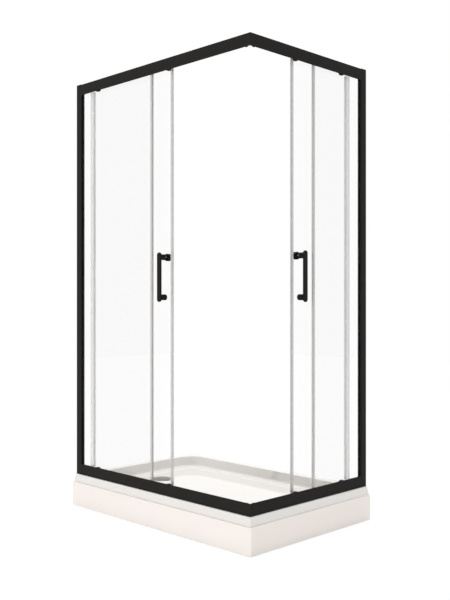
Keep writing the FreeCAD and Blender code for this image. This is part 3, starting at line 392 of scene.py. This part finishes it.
def eased_copy(node, finish, slot_name, width, shortest):
    """A copy of a solid with its long sharp edges rounded a little, so that they catch the light."""
    mesh = welded_copy(node, shortest)
    piece = new_piece(node + "_eased", mesh, finish, slot_name, body_of[node], node)
    bevel = piece.modifiers.new("eased edges", "BEVEL")
    bevel.width = width
    bevel.segments = BEVEL_STEPS
    bevel.limit_method = "WEIGHT"
    bevel.use_clamp_overlap = False
    smooth_mesh(mesh, EDGE_ANGLE)
    print(piece.name, "has", len(mesh.polygons), "faces before its bevel")


# %% [markdown]
# ## Helpers for Geometry Nodes
#
# Three trees follow: the extrusions, the stud threads and the screws. Each is built by the same few
# helpers. One makes an empty tree with named inputs, and one ends the tree with Realize Instances and Set
# Material. The last runs a tree on a seed mesh, keeps the result as a plain mesh and takes the modifier
# off again.

# %% Tree helpers
def new_tree(name, **inputs):
    tree = bpy.data.node_groups.new(name, "GeometryNodeTree")
    for label, kind in inputs.items():
        tree.interface.new_socket(label, in_out="INPUT", socket_type="NodeSocket" + kind)
    tree.interface.new_socket("Result", in_out="OUTPUT", socket_type="NodeSocketGeometry")
    return tree, tree.nodes.new("NodeGroupInput").outputs


def end_tree(tree, geometry, finish):
    realized = add_step(tree, "GeometryNodeRealizeInstances", {"Geometry": geometry})["Geometry"]
    painted = add_step(tree, "GeometryNodeSetMaterial",
                       {"Geometry": realized, "Material": finish})["Geometry"]
    tree.links.new(painted, tree.nodes.new("NodeGroupOutput").inputs["Result"])
    print(tree.name, "has", len(tree.nodes), "nodes")
    return tree


def grown_mesh(seed, tree, **values):
    """Runs a tree on a seed mesh and gives its result as a plain mesh."""
    holder = bpy.data.objects.new("seed", seed)
    bpy.context.scene.collection.objects.link(holder)
    modifier = holder.modifiers.new("grow", "NODES")
    modifier.node_group = tree
    for item in tree.interface.items_tree:
        if item.in_out == "INPUT" and item.name in values:
            modifier[item.identifier] = values[item.name]
    holder.update_tag()
    bpy.context.view_layer.update()
    grown = holder.evaluated_get(bpy.context.evaluated_depsgraph_get())
    mesh = bpy.data.meshes.new_from_object(grown)
    holder.modifiers.remove(modifier)
    bpy.data.objects.remove(holder)
    return mesh


print("tree helpers ready")

# %% [markdown]
# ## Rails: one extrusion, four bars
#
# Each rail is a length of the same extrusion, sawn square at the wall and mitred at the corner. It could
# be a bevelled box, but an extrusion follows a rule, so Geometry Nodes draws it as the factory does: take
# the section as a curve, round its corners with Fillet Curve, fill it and push it out. Fill Curve works
# in the XY plane only, so the bar is drawn there first. Then Set Position lays it along the glazed side,
# and slides the points of the corner end along the rail by their own depth, which cuts the mitre at 45
# degrees.

# %% Extrusion tree
ROUND_STEPS = 3
END_BAND = 0.001
SEAM_DISTANCE = 0.00001


def extrusion_tree():
    tree, given = new_tree("aluminium_extrusion", Section="Geometry", Start="Vector", Across="Vector",
                           Upward="Vector", Along="Vector", Length="Float", Mitre="Float", Rounding="Float",
                           Finish="Material")

    def stretched(direction, amount):
        return add_step(tree, "ShaderNodeVectorMath", {0: given[direction], "Scale": amount},
                        operation="SCALE")["Vector"]

    def added(first, second):
        return add_step(tree, "ShaderNodeVectorMath", {0: first, 1: second})["Vector"]

    outline = add_step(tree, "GeometryNodeMeshToCurve", {"Mesh": given["Section"]})["Curve"]
    rounded = add_step(tree, "GeometryNodeFilletCurve",
                       {"Curve": outline, "Radius": given["Rounding"], "Count": ROUND_STEPS},
                       mode="POLY")["Curve"]
    filled = add_step(tree, "GeometryNodeFillCurve", {"Curve": rounded}, mode="NGONS")["Mesh"]
    pushed = add_step(tree, "GeometryNodeExtrudeMesh",
                      {"Mesh": filled, "Offset Scale": given["Length"], "Individual": False})["Mesh"]
    back = add_step(tree, "GeometryNodeFlipFaces", {"Mesh": filled})["Mesh"]
    joined = add_step(tree, "GeometryNodeJoinGeometry", {"Geometry": [pushed, back]})["Geometry"]
    welded = add_step(tree, "GeometryNodeMergeByDistance",
                      {"Geometry": joined, "Distance": SEAM_DISTANCE})["Geometry"]
    position = add_step(tree, "GeometryNodeInputPosition", {})["Position"]
    drawn = add_step(tree, "ShaderNodeSeparateXYZ", {"Vector": position})
    reach = number(tree, "ABSOLUTE", drawn["Z"], 0.0)
    at_corner = number(tree, "LESS_THAN", reach, END_BAND)
    mitred = number(tree, "MULTIPLY", drawn["X"], given["Mitre"])
    slide = number(tree, "MULTIPLY", mitred, at_corner)
    place = added(given["Start"], stretched("Across", drawn["X"]))
    place = added(place, stretched("Upward", drawn["Y"]))
    place = added(place, stretched("Along", number(tree, "ADD", reach, slide)))
    laid = add_step(tree, "GeometryNodeSetPosition", {"Geometry": welded, "Position": place})["Geometry"]
    return end_tree(tree, laid, given["Finish"])


extrusion = extrusion_tree()

# %% [markdown]
# ## Places on the glazed sides
#
# The frame's own boxes say where the rails run, so no place is typed in twice. A place on a glazed side
# is given by s, the distance along it from the outer corner, and by q, the depth behind its outer face.

# %% Places
rail_low, rail_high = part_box("front_top_rail")
CORNER_X, CORNER_Y = rail_high.x, rail_low.y
TOP_EDGE, FRAME_TOP = rail_low.z, rail_high.z
RIM, BOTTOM_EDGE = (corner.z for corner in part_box("front_bottom_rail"))
WALL_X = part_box("front_wall_profile")[0].x
WALL_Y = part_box("side_wall_profile")[1].y
RAIL_DEPTH = rail_high.y - rail_low.y
RAIL_HEIGHT = FRAME_TOP - TOP_EDGE
RAIL_LENGTHS = {"front": CORNER_X - rail_low.x, "side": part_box("side_top_rail")[1].y - CORNER_Y}
RUNS = {"front": CORNER_X - WALL_X, "side": WALL_Y - CORNER_Y}
ALONG = {"front": Vector((-1.0, 0.0, 0.0)), "side": Vector((0.0, 1.0, 0.0))}
INWARD = {"front": Vector((0.0, 1.0, 0.0)), "side": Vector((-1.0, 0.0, 0.0))}


def glazed_point(side, s, q, z):
    return Vector((CORNER_X, CORNER_Y, z)) + ALONG[side] * s + INWARD[side] * q


for side in SIDES:
    print(side, "rails are", round(RAIL_LENGTHS[side], 4), "long and", round(RAIL_DEPTH, 4), "deep")

# %% [markdown]
# ## The rail's section
#
# Seen from its end, a rail is a tall outer face, a web behind the fixed pane, and a small track that
# carries the door's wheels. The section is drawn from the open edge, so that the bottom rail is the same
# shape turned over.

# %% Rails
RAIL_WALL, RAIL_ROUNDING = 0.0025, 0.0007
WEB_FRONT, WEB_BACK, WEB_GAP = 0.015, 0.017, 0.009
TRACK_FRONT, TRACK_RISE, TRACK_THICKNESS = 0.039, 0.021, 0.003


def rail_section():
    """The rail's section as depth and rise from its open edge."""
    inner = RAIL_HEIGHT - RAIL_WALL
    back = RAIL_DEPTH - RAIL_WALL
    track_top = TRACK_RISE + TRACK_THICKNESS
    return [(0.0, 0.0), (RAIL_WALL, 0.0), (RAIL_WALL, inner), (WEB_FRONT, inner), (WEB_FRONT, WEB_GAP),
            (WEB_BACK, WEB_GAP), (WEB_BACK, inner), (back, inner), (back, track_top),
            (TRACK_FRONT, track_top), (TRACK_FRONT, TRACK_RISE), (RAIL_DEPTH, TRACK_RISE),
            (RAIL_DEPTH, RAIL_HEIGHT), (0.0, RAIL_HEIGHT)]


def section_mesh(section):
    """A closed loop of edges through the points of a section."""
    mesh = bpy.data.meshes.new("section")
    count = len(section)
    mesh.from_pydata([(x, y, 0.0) for x, y in section], [(i, (i + 1) % count) for i in range(count)], [])
    return mesh


def extruded_bar(node, section, **values):
    """Draws a bar with the extrusion tree and puts it in the place of a solid."""
    bar = grown_mesh(section_mesh(section), extrusion, Finish=powder_coat, **values)
    outward_faces(bar)
    smooth_mesh(bar, EDGE_ANGLE)
    new_piece(node + "_bar", bar, powder_coat, "black_aluminium", body_of[node], node)
    print(node, "has", len(bar.polygons), "faces")


for side in SIDES:
    for level, edge, upward in (("top", TOP_EDGE, 1.0), ("bottom", BOTTOM_EDGE, -1.0)):
        extruded_bar("%s_%s_rail" % (side, level), rail_section(), Start=glazed_point(side, 0.0, 0.0, edge),
                     Across=INWARD[side], Upward=(0.0, 0.0, upward), Along=ALONG[side],
                     Length=RAIL_LENGTHS[side], Mitre=1.0, Rounding=RAIL_ROUNDING)

# %% [markdown]
# ## Jambs and wall profiles
#
# The jamb carries the fixed pane and slides into the wall profile, which takes up a wall that is out of
# true. The jamb is another extrusion, standing this time, so the same tree makes it with no mitre. The
# wall profile has screw holes in its back, which the solid already has, so it gets a copy with eased
# edges instead.

# %% Jambs and wall profiles
jamb_low, jamb_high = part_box("front_jamb")
JAMB_START, JAMB_END = jamb_low.x - WALL_X, jamb_high.x - WALL_X
JAMB_FRONT, JAMB_BACK = jamb_low.y - CORNER_Y, jamb_high.y - CORNER_Y
JAMB_ROUNDING = 0.0006
SLOT_DEPTH, SLOT_FRONT, SLOT_BACK = 0.017, 0.006, 0.014
SLOT_BOTTOM = JAMB_END - SLOT_DEPTH
PROFILE_EASE, PROFILE_SHORT_EDGE = 0.0006, 0.015
JAMB_SECTION = [(JAMB_START, JAMB_FRONT), (JAMB_END, JAMB_FRONT), (JAMB_END, SLOT_FRONT),
                (SLOT_BOTTOM, SLOT_FRONT), (SLOT_BOTTOM, SLOT_BACK), (JAMB_END, SLOT_BACK),
                (JAMB_END, JAMB_BACK), (JAMB_START, JAMB_BACK)]

for side in SIDES:
    extruded_bar(side + "_jamb", JAMB_SECTION, Start=glazed_point(side, RUNS[side], 0.0, BOTTOM_EDGE),
                 Across=-ALONG[side], Upward=INWARD[side], Along=(0.0, 0.0, 1.0),
                 Length=TOP_EDGE - BOTTOM_EDGE, Mitre=0.0, Rounding=JAMB_ROUNDING)
    eased_copy(side + "_wall_profile", powder_coat, "black_aluminium", PROFILE_EASE, PROFILE_SHORT_EDGE)

# %% [markdown]
# ## The tray
#
# An acrylic tray is one continuous skin: a leaning lip outside, a flat rim, a basin with rounded corners,
# a floor with a shallow step around it and a round well for the drain. A subdivided box would swell where
# it should be flat. Every level of this shape is a rounded rectangle or a circle, so the mesh is made of
# two stacks of outlines, joined ring to ring: rectangles for the tray, circles for the well. Triangles
# fill the flat floor between them, above and below. The roundings are rings too, placed along arcs.

# %% Tray sizes
tray_low, tray_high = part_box("tray_shell")
apron_low, apron_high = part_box("front_apron")
flange_low, flange_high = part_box("drain_flange")
SKIN, APRON_GAP, FLANGE_THICKNESS = 0.0045, 0.0005, 0.0025
LIP_SETBACK, LIP_LEAN, LIP_EDGE = 0.007, 0.0086, 0.001
OUTER_CORNER, RIM_CORNER = 0.002, 0.004
RIM_ROUND, FLOOR_ROUND, WELL_ROUND = 0.0025, 0.018, 0.004
BASIN_WALL_MARGIN, BASIN_RAIL_MARGIN = 0.045, 0.015
BASIN_DEPTH, BASIN_RADIUS, BASIN_DRAFT = 0.050, 0.100, 0.016
PANEL_STEP, PANEL_MARGIN, PANEL_SLOPE = 0.002, 0.034, 0.020
RECESS_RADIUS, WELL_RADIUS, DRAIN_HOLE = 0.060, 0.066, 0.045
RECESS_FOOT_RISE, RECESS_FOOT_INSET = 0.002, 0.0005
CORNER_STEPS, CIRCLE_STEPS = 16, 72

LIP_BOTTOM = apron_high.z + APRON_GAP
BASIN_X = (tray_low.x + BASIN_WALL_MARGIN, CORNER_X - RAIL_DEPTH - BASIN_RAIL_MARGIN)
BASIN_Y = (CORNER_Y + RAIL_DEPTH + BASIN_RAIL_MARGIN, tray_high.y - BASIN_WALL_MARGIN)
BASIN_FLOOR = RIM - BASIN_DEPTH
PANEL_FLOOR = BASIN_FLOOR - PANEL_STEP
SLAB_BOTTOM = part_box("tray_bearers")[1].z
WELL_BOTTOM = tray_low.z
RECESS_FLOOR = flange_high.z - FLANGE_THICKNESS
DRAIN_X, DRAIN_Y = (flange_low.x + flange_high.x) / 2, (flange_low.y + flange_high.y) / 2
print("basin along x", [round(v, 4) for v in BASIN_X], "and along y", [round(v, 4) for v in BASIN_Y])
print("drain at", round(DRAIN_X, 4), round(DRAIN_Y, 4))

# %% Tray outlines
def rounded_ring(x0, x1, y0, y1, radius, z):
    ring = []
    centres = ((x1 - radius, y1 - radius), (x0 + radius, y1 - radius), (x0 + radius, y0 + radius),
               (x1 - radius, y0 + radius))
    for quarter, (cx, cy) in enumerate(centres):
        for step in range(CORNER_STEPS + 1):
            angle = math.radians(90 * (quarter + step / CORNER_STEPS))
            ring.append((cx + radius * math.cos(angle), cy + radius * math.sin(angle), z))
    return ring


def outer_ring(z, setback, wall_inset, radius=OUTER_CORNER):
    """The tray's outline: it stands back from the aprons and close to the room's walls."""
    return rounded_ring(tray_low.x + wall_inset, apron_high.x - setback, apron_low.y + setback,
                        tray_high.y - wall_inset, radius, z)


def basin_ring(z, inset):
    x0, x1 = BASIN_X
    y0, y1 = BASIN_Y
    return rounded_ring(x0 + inset, x1 - inset, y0 + inset, y1 - inset, BASIN_RADIUS - inset, z)


def drain_ring(z, radius):
    turns = [2 * math.pi * step / CIRCLE_STEPS for step in range(CIRCLE_STEPS)]
    return [(DRAIN_X + radius * math.cos(turn), DRAIN_Y + radius * math.sin(turn), z) for turn in turns]


print("a rectangle has", len(basin_ring(RIM, 0.0)), "points and a circle", CIRCLE_STEPS)

# %% [markdown]
# ## The tray's profile
#
# Now the rings are listed in order, as a draughtsman would trace the section with a pencil. A lean of the
# lip or a draft of the basin's wall makes each rounding a little less than a quarter circle, so its
# centre is found with the tangent of half the angle that is left.

# %% Tray profile
UPRIGHT = math.pi / 2
RIM_STEPS, FLOOR_STEPS, SLOPE_STEPS, WELL_STEPS = 4, 8, 6, 5
LIP_EDGE_SHARE, WALL_EDGE_SHARE = 0.3, 0.2


def even_steps(start, end, count):
    return [start + (end - start) * step / count for step in range(count + 1)]


def lip_rings():
    """From the lip's lower inner edge, up its outside and round onto the rim."""
    lean = math.atan2(LIP_LEAN, RIM - LIP_BOTTOM)
    broken = LIP_EDGE * LIP_EDGE_SHARE
    rings = [outer_ring(LIP_BOTTOM, LIP_SETBACK + SKIN, SKIN),
             outer_ring(LIP_BOTTOM, LIP_SETBACK + LIP_EDGE, LIP_EDGE),
             outer_ring(LIP_BOTTOM + broken, LIP_SETBACK + broken, broken),
             outer_ring(LIP_BOTTOM + LIP_EDGE, LIP_SETBACK + LIP_EDGE * math.tan(lean), 0.0)]
    centre = LIP_SETBACK + LIP_LEAN + RIM_ROUND * math.tan((UPRIGHT - lean) / 2)
    for angle in even_steps(lean, UPRIGHT, RIM_STEPS):
        rise = RIM_ROUND * math.sin(angle)
        inset = RIM_ROUND - math.sqrt(max(RIM_ROUND ** 2 - rise ** 2, 0.0))
        rings.append(outer_ring(RIM - RIM_ROUND + rise, centre - RIM_ROUND * math.cos(angle),
                                inset * WALL_EDGE_SHARE, RIM_CORNER))
    return rings


def basin_rings():
    """From the rim, down the basin's wall and across the stepped floor."""
    slope = math.atan2(BASIN_DRAFT, RIM - BASIN_FLOOR)
    turn = math.tan((UPRIGHT - slope) / 2)
    rings = []
    for angle in even_steps(UPRIGHT, slope, RIM_STEPS):
        rings.append(basin_ring(RIM - RIM_ROUND + RIM_ROUND * math.sin(angle),
                                RIM_ROUND * (math.cos(angle) - turn)))
    for angle in even_steps(slope, UPRIGHT, FLOOR_STEPS):
        rings.append(basin_ring(BASIN_FLOOR + FLOOR_ROUND * (1 - math.sin(angle)),
                                BASIN_DRAFT + FLOOR_ROUND * (turn - math.cos(angle))))
    for share in even_steps(0.0, 1.0, SLOPE_STEPS):
        fall = share * share * (3 - 2 * share)
        rings.append(basin_ring(BASIN_FLOOR + (PANEL_FLOOR - BASIN_FLOOR) * fall,
                                BASIN_DRAFT + PANEL_MARGIN + PANEL_SLOPE * share))
    return rings


def well_rings():
    """Over the rounded edge of the well, down to its floor, through the hole and under the floor slab."""
    rings = []
    for angle in even_steps(0.0, UPRIGHT, WELL_STEPS):
        rings.append(drain_ring(PANEL_FLOOR - WELL_ROUND * (1 - math.cos(angle)),
                                RECESS_RADIUS + WELL_ROUND * (1 - math.sin(angle))))
    for z, radius in ((RECESS_FLOOR + RECESS_FOOT_RISE, RECESS_RADIUS),
                      (RECESS_FLOOR, RECESS_RADIUS - RECESS_FOOT_INSET), (RECESS_FLOOR, DRAIN_HOLE),
                      (WELL_BOTTOM, DRAIN_HOLE), (WELL_BOTTOM, WELL_RADIUS), (SLAB_BOTTOM, WELL_RADIUS)):
        rings.append(drain_ring(z, radius))
    return rings


def back_rings():
    """Back under the slab, up the outside of the basin and under the rim to the lip."""
    return [basin_ring(SLAB_BOTTOM, BASIN_DRAFT - SKIN), basin_ring(PANEL_FLOOR, BASIN_DRAFT - SKIN),
            basin_ring(RIM - SKIN, -SKIN), outer_ring(RIM - SKIN, LIP_SETBACK + LIP_LEAN + SKIN, SKIN)]


for part, rings in (("lip", lip_rings()), ("basin", basin_rings()), ("well", well_rings())):
    print("the", part, "has", len(rings), "rings")

# %% Tray mesh
TRAY_EDGE_ANGLE = 40


def join_rings(shell, rings):
    """Joins each ring to the next, and gives the points of the first and the last."""
    loops = [[shell.verts.new(point) for point in ring] for ring in rings]
    for one, other in zip(loops, loops[1:]):
        for i in range(len(one)):
            shell.faces.new((one[i - 1], one[i], other[i], other[i - 1]))
    return loops[0], loops[-1]


def fill_between(shell, outline, hole):
    """Fills the flat area between an outline and the hole in it."""
    edges = [shell.edges.get((loop[i - 1], loop[i])) for loop in (outline, hole) for i in range(len(loop))]
    bmesh.ops.triangle_fill(shell, use_beauty=True, edges=edges)


def tray_shape():
    shell = bmesh.new()
    underside, panel = join_rings(shell, back_rings() + lip_rings() + basin_rings())
    well_edge, well_foot = join_rings(shell, well_rings())
    fill_between(shell, panel, well_edge)
    fill_between(shell, underside, well_foot)
    mesh = bpy.data.meshes.new("tray")
    shell.to_mesh(mesh)
    shell.free()
    outward_faces(mesh)
    return mesh


tray_mesh = tray_shape()
smooth_mesh(tray_mesh, TRAY_EDGE_ANGLE)
tray = new_piece("tray_skin", tray_mesh, tray_acrylic, "tray_acrylic", body_of["tray_shell"], "tray_shell")
flatter = tray.modifiers.new("flat faces stay flat", "WEIGHTED_NORMAL")
flatter.keep_sharp = True
print("tray has", len(tray_mesh.polygons), "faces")

# %% [markdown]
# ## Aprons and underframe
#
# The two apron panels hide the feet. They keep their solids, with edges eased by about a millimetre,
# because a sheet of acrylic is always broken at its edges. What stands behind them is plain hardware, and
# only needs a finish.

# %% Aprons and underframe
APRON_EASE, APRON_SHORT_EDGE = 0.0012, 0.008

for node in ("front_apron", "side_apron"):
    eased_copy(node, apron_acrylic, "apron_acrylic", APRON_EASE, APRON_SHORT_EDGE)
dress(galvanised, "tray_bearers", "apron_brackets")
dress(zinc, "levelling_feet", "foot_lock_nuts")
dress(white_moulding, "drain_trap")
dress(black_rubber, "drain_gasket")
dress(chrome, "drain_flange", "drain_cover")
print("aprons, bearers, feet and drain done")

# %% [markdown]
# ## Threads on the levelling studs
#
# Each stud is a threaded rod. A thread follows a rule, so a tree draws it: a spiral curve, a small
# triangle swept along it, and one copy at each foot. The ridges stand a fraction of a millimetre proud of
# the plain solid.

# %% Thread tree
SPIRAL_STEPS, RIDGE_SIDES = 16, 3


def thread_tree():
    tree, given = new_tree("stud_threads", Feet="Geometry", Radius="Float", Turns="Float", Height="Float",
                           Ridge="Float", Finish="Material")
    spiral = add_step(tree, "GeometryNodeCurveSpiral",
                      {"Resolution": SPIRAL_STEPS, "Rotations": given["Turns"],
                       "Start Radius": given["Radius"], "End Radius": given["Radius"],
                       "Height": given["Height"]})["Curve"]
    ridge = add_step(tree, "GeometryNodeCurvePrimitiveCircle",
                     {"Resolution": RIDGE_SIDES, "Radius": given["Ridge"]})["Curve"]
    swept = add_step(tree, "GeometryNodeCurveToMesh",
                     {"Curve": spiral, "Profile Curve": ridge, "Fill Caps": True})["Mesh"]
    copied = add_step(tree, "GeometryNodeInstanceOnPoints",
                      {"Points": given["Feet"], "Instance": swept})["Instances"]
    return end_tree(tree, copied, given["Finish"])


threads = thread_tree()

# %% Stud threads
feet_low, feet_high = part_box("levelling_feet")
PAD_RADIUS, PAD_HEIGHT, STUD_RADIUS = 0.025, 0.014, 0.006
PITCH, RIDGE, THREAD_START, THREAD_MARGIN = 0.00175, 0.0005, 0.0005, 0.001
foot_columns = (feet_low.x + PAD_RADIUS, (feet_low.x + feet_high.x) / 2, feet_high.x - PAD_RADIUS)
foot_rows = (feet_low.y + PAD_RADIUS, feet_high.y - PAD_RADIUS)
foot_points = bpy.data.meshes.new("feet")
foot_places = [(x, y, PAD_HEIGHT + THREAD_START) for x in foot_columns for y in foot_rows]
foot_points.from_pydata(foot_places, [], [])
thread_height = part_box("foot_lock_nuts")[0].z - PAD_HEIGHT - THREAD_MARGIN
thread_mesh = grown_mesh(foot_points, threads, Radius=STUD_RADIUS, Turns=thread_height / PITCH,
                         Height=thread_height, Ridge=RIDGE, Finish=zinc)
outward_faces(thread_mesh)
new_piece("stud_threads", thread_mesh, zinc, "steel", body_of["levelling_feet"])
print("threads have", len(thread_mesh.polygons), "faces")

# %% [markdown]
# ## Frame screws
#
# Countersunk screws hold the rails to their connectors and the jambs to the wall profiles. One screw is
# modelled by the tree, a cone with a cross cut into its head, and a copy is set at every point of a small
# mesh, turned to the direction that is stored on the point.

# %% Screw tree
SCREW_SIDES = 32


def screw_tree():
    tree, given = new_tree("countersunk_screws", Places="Geometry", Head="Float", Shank="Float",
                           Depth="Float", Length="Float", Cross="Vector", Finish="Material")

    def taper(bottom, top, depth):
        return add_step(tree, "GeometryNodeMeshCone",
                        {"Vertices": SCREW_SIDES, "Radius Bottom": given[bottom], "Radius Top": given[top],
                         "Depth": given[depth]})["Mesh"]

    def bar(turn):
        block = add_step(tree, "GeometryNodeMeshCube", {"Size": given["Cross"]})["Mesh"]
        return add_step(tree, "GeometryNodeTransform",
                        {"Geometry": block, "Rotation": (0.0, 0.0, math.radians(turn))})["Geometry"]

    head = add_step(tree, "GeometryNodeMeshBoolean",
                    {"Mesh 1": taper("Head", "Shank", "Depth"), "Mesh 2": [bar(0), bar(90)]},
                    operation="DIFFERENCE")["Mesh"]
    shank = taper("Shank", "Shank", "Length")
    screw = add_step(tree, "GeometryNodeJoinGeometry", {"Geometry": [head, shank]})["Geometry"]
    aim = add_step(tree, "GeometryNodeInputNamedAttribute", {"Name": "aim"},
                   data_type="FLOAT_VECTOR")["Attribute"]
    turned = add_step(tree, "FunctionNodeAlignRotationToVector", {"Vector": aim})["Rotation"]
    copied = add_step(tree, "GeometryNodeInstanceOnPoints",
                      {"Points": given["Places"], "Instance": screw, "Rotation": turned})["Instances"]
    return end_tree(tree, copied, given["Finish"])


screw_copies = screw_tree()

# %% Screw places
SCREW_END, CONNECTOR_REACH, JAMB_SCREW_MARGIN = 0.015, 0.070, 0.300
profile_low, profile_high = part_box("front_wall_profile")
PROFILE_DEPTH = profile_high.y - profile_low.y
POCKET_MIDDLE = (RAIL_WALL + WEB_FRONT) / 2
jamb_heights = (BOTTOM_EDGE + JAMB_SCREW_MARGIN, (BOTTOM_EDGE + TOP_EDGE) / 2,
                TOP_EDGE - JAMB_SCREW_MARGIN)
screws = []
for side in SIDES:
    for s in (CONNECTOR_REACH - SCREW_END, RAIL_LENGTHS[side] - SCREW_END):
        screws.append((glazed_point(side, s, POCKET_MIDDLE, FRAME_TOP), (0.0, 0.0, -1.0)))
        screws.append((glazed_point(side, s, POCKET_MIDDLE, RIM), (0.0, 0.0, 1.0)))
    for z in jamb_heights:
        s = RUNS[side] - (JAMB_START + SLOT_BOTTOM) / 2
        screws.append((glazed_point(side, s, PROFILE_DEPTH, z), tuple(-INWARD[side])))
print("the frame has", len(screws), "screws")

# %% Screws
HEAD_RADIUS, SHANK_RADIUS, HEAD_DEPTH, SCREW_LENGTH = 0.004, 0.002, 0.0025, 0.012
CROSS_SIZE = (0.0045, 0.001, 0.0028)
screw_points = bpy.data.meshes.new("screw_places")
screw_points.from_pydata([place for place, _ in screws], [], [])
aims = screw_points.attributes.new("aim", "FLOAT_VECTOR", "POINT")
for spot, (_, direction) in zip(aims.data, screws):
    spot.vector = direction
screw_mesh = grown_mesh(screw_points, screw_copies, Head=HEAD_RADIUS, Shank=SHANK_RADIUS, Depth=HEAD_DEPTH,
                        Length=SCREW_LENGTH, Cross=CROSS_SIZE, Finish=zinc)
smooth_mesh(screw_mesh, EDGE_ANGLE)
new_piece("frame_screw_set", screw_mesh, zinc, "steel", body_of["frame_screws"], "frame_screws")
print("screws have", len(screw_mesh.polygons), "faces")

# %% [markdown]
# ## Glass, seals and small parts
#
# The panes, seals, gaskets and roller parts keep their solids, which already have the right sections and
# holes. Only their finishes are missing.

# %% Finishes on the remaining solids
dress(clear_glass, "front_fixed_pane", "side_fixed_pane", "front_door_glass", "side_door_glass")
dress(black_rubber, "pane_gaskets", "rail_stops")
dress(black_moulding, "rail_connectors")
for side in SIDES:
    dress(seal_plastic, side + "_pane_seal", side + "_door_magnet_seal")
    dress(fin_plastic, side + "_door_trailing_seal")
    dress(magnet_rubber, side + "_door_magnet_strip")
    dress(black_rubber, side + "_handle_washers")
    dress(satin_black, side + "_handle_bar", side + "_handle_posts", side + "_handle_collar")
    dress(zinc, side + "_handle_screws", side + "_door_roller_axles")
    dress(black_moulding, side + "_door_roller_carriers", side + "_door_roller_caps")
    for level in ("top", "bottom"):
        for end in ("lead", "trail"):
            dress(white_moulding, "%s_door_%s_%s_wheel" % (side, level, end))
print("all solids dressed")

# %% [markdown]
# ## Floor and background
#
# The stage is a white floor that runs out of sight under a white sky. What the camera sees of them,
# directly, in a reflection or through glass, is white; what lights the object is softer. Light that has
# bounced off a matt surface and then passes through glass counts as lighting, or what stands behind the
# panes would be too bright. The floor keeps a part that answers to light, so the tray still has its
# contact shadow.

# %% Floor
FLOOR_REACH = 9.0
FLOOR_WHITE, FLOOR_SHADE, FLOOR_GLOW = 0.95, 0.10, 0.90
NO_BOUNCE = 0.5


def seen_rays(tree):
    """1 where a ray shows the background to the camera, 0 where it lights the object or has bounced."""
    rays = add_step(tree, "ShaderNodeLightPath", {})
    shown = number(tree, "MAXIMUM", rays["Is Camera Ray"], rays["Is Glossy Ray"])
    shown = number(tree, "MAXIMUM", shown, rays["Is Transmission Ray"])
    straight = number(tree, "LESS_THAN", rays["Diffuse Depth"], NO_BOUNCE)
    return number(tree, "MULTIPLY", shown, straight)


def floor_finish():
    finish, tree, shader = new_finish("stage_floor")
    tree.nodes.remove(shader)
    plain, shade = (add_step(tree, "ShaderNodeBsdfDiffuse", {"Color": (level, level, level, 1.0)})["BSDF"]
                    for level in (FLOOR_WHITE, FLOOR_SHADE))
    glow = add_step(tree, "ShaderNodeEmission", {"Strength": FLOOR_GLOW})["Emission"]
    lit = add_step(tree, "ShaderNodeAddShader", {0: shade, 1: glow})["Shader"]
    choice = add_step(tree, "ShaderNodeMixShader", {"Fac": seen_rays(tree), 1: plain, 2: lit})["Shader"]
    tree.links.new(choice, tree.nodes["Material Output"].inputs["Surface"])
    return finish


floor_corners = [(x * FLOOR_REACH, y * FLOOR_REACH, 0.0) for x, y in ((-1, -1), (1, -1), (1, 1), (-1, 1))]
floor_mesh = bpy.data.meshes.new("stage_floor")
floor_mesh.from_pydata(floor_corners, [], [(0, 1, 2, 3)])
floor_mesh.materials.append(floor_finish())
floor = bpy.data.objects.new("stage_floor", floor_mesh)
bpy.context.scene.collection.objects.link(floor)
print("floor laid,", 2 * FLOOR_REACH, "m wide")

# %% [markdown]
# ## Sky and lamps
#
# The sky gives even light from all round. A broad lamp overhead lights the basin's floor, and a low one
# in front of the long side makes that side a little brighter than the short one. Neither lamp shows in a
# reflection, so the glossy tray mirrors the sky and no bright spot.

# %% Sky and lamps
AMBIENT = 0.54
world = bpy.data.worlds.new("white_studio")
world.use_nodes = True
bpy.context.scene.world = world
sky_tree = world.node_tree
strength = add_step(sky_tree, "ShaderNodeMapRange",
                    {"Value": seen_rays(sky_tree), "To Min": AMBIENT})["Result"]
sky = sky_tree.nodes["Background"]
sky.inputs["Color"].default_value = (1.0, 1.0, 1.0, 1.0)
sky_tree.links.new(strength, sky.inputs["Strength"])


def studio_sun(name, energy, spread, direction):
    data = bpy.data.lights.new(name, "SUN")
    data.energy = energy
    data.angle = math.radians(spread)
    lamp = bpy.data.objects.new(name, data)
    lamp.rotation_euler = Vector(direction).to_track_quat("-Z", "Y").to_euler()
    lamp.visible_glossy = False
    bpy.context.scene.collection.objects.link(lamp)


studio_sun("overhead_lamp", energy=2.06, spread=40.0, direction=(0.15, -0.16, -0.976))
studio_sun("low_front_lamp", energy=0.66, spread=3.0, direction=(-0.20, 0.98, -0.035))
bpy.context.scene.view_settings.view_transform = "Standard"
print("stage set")
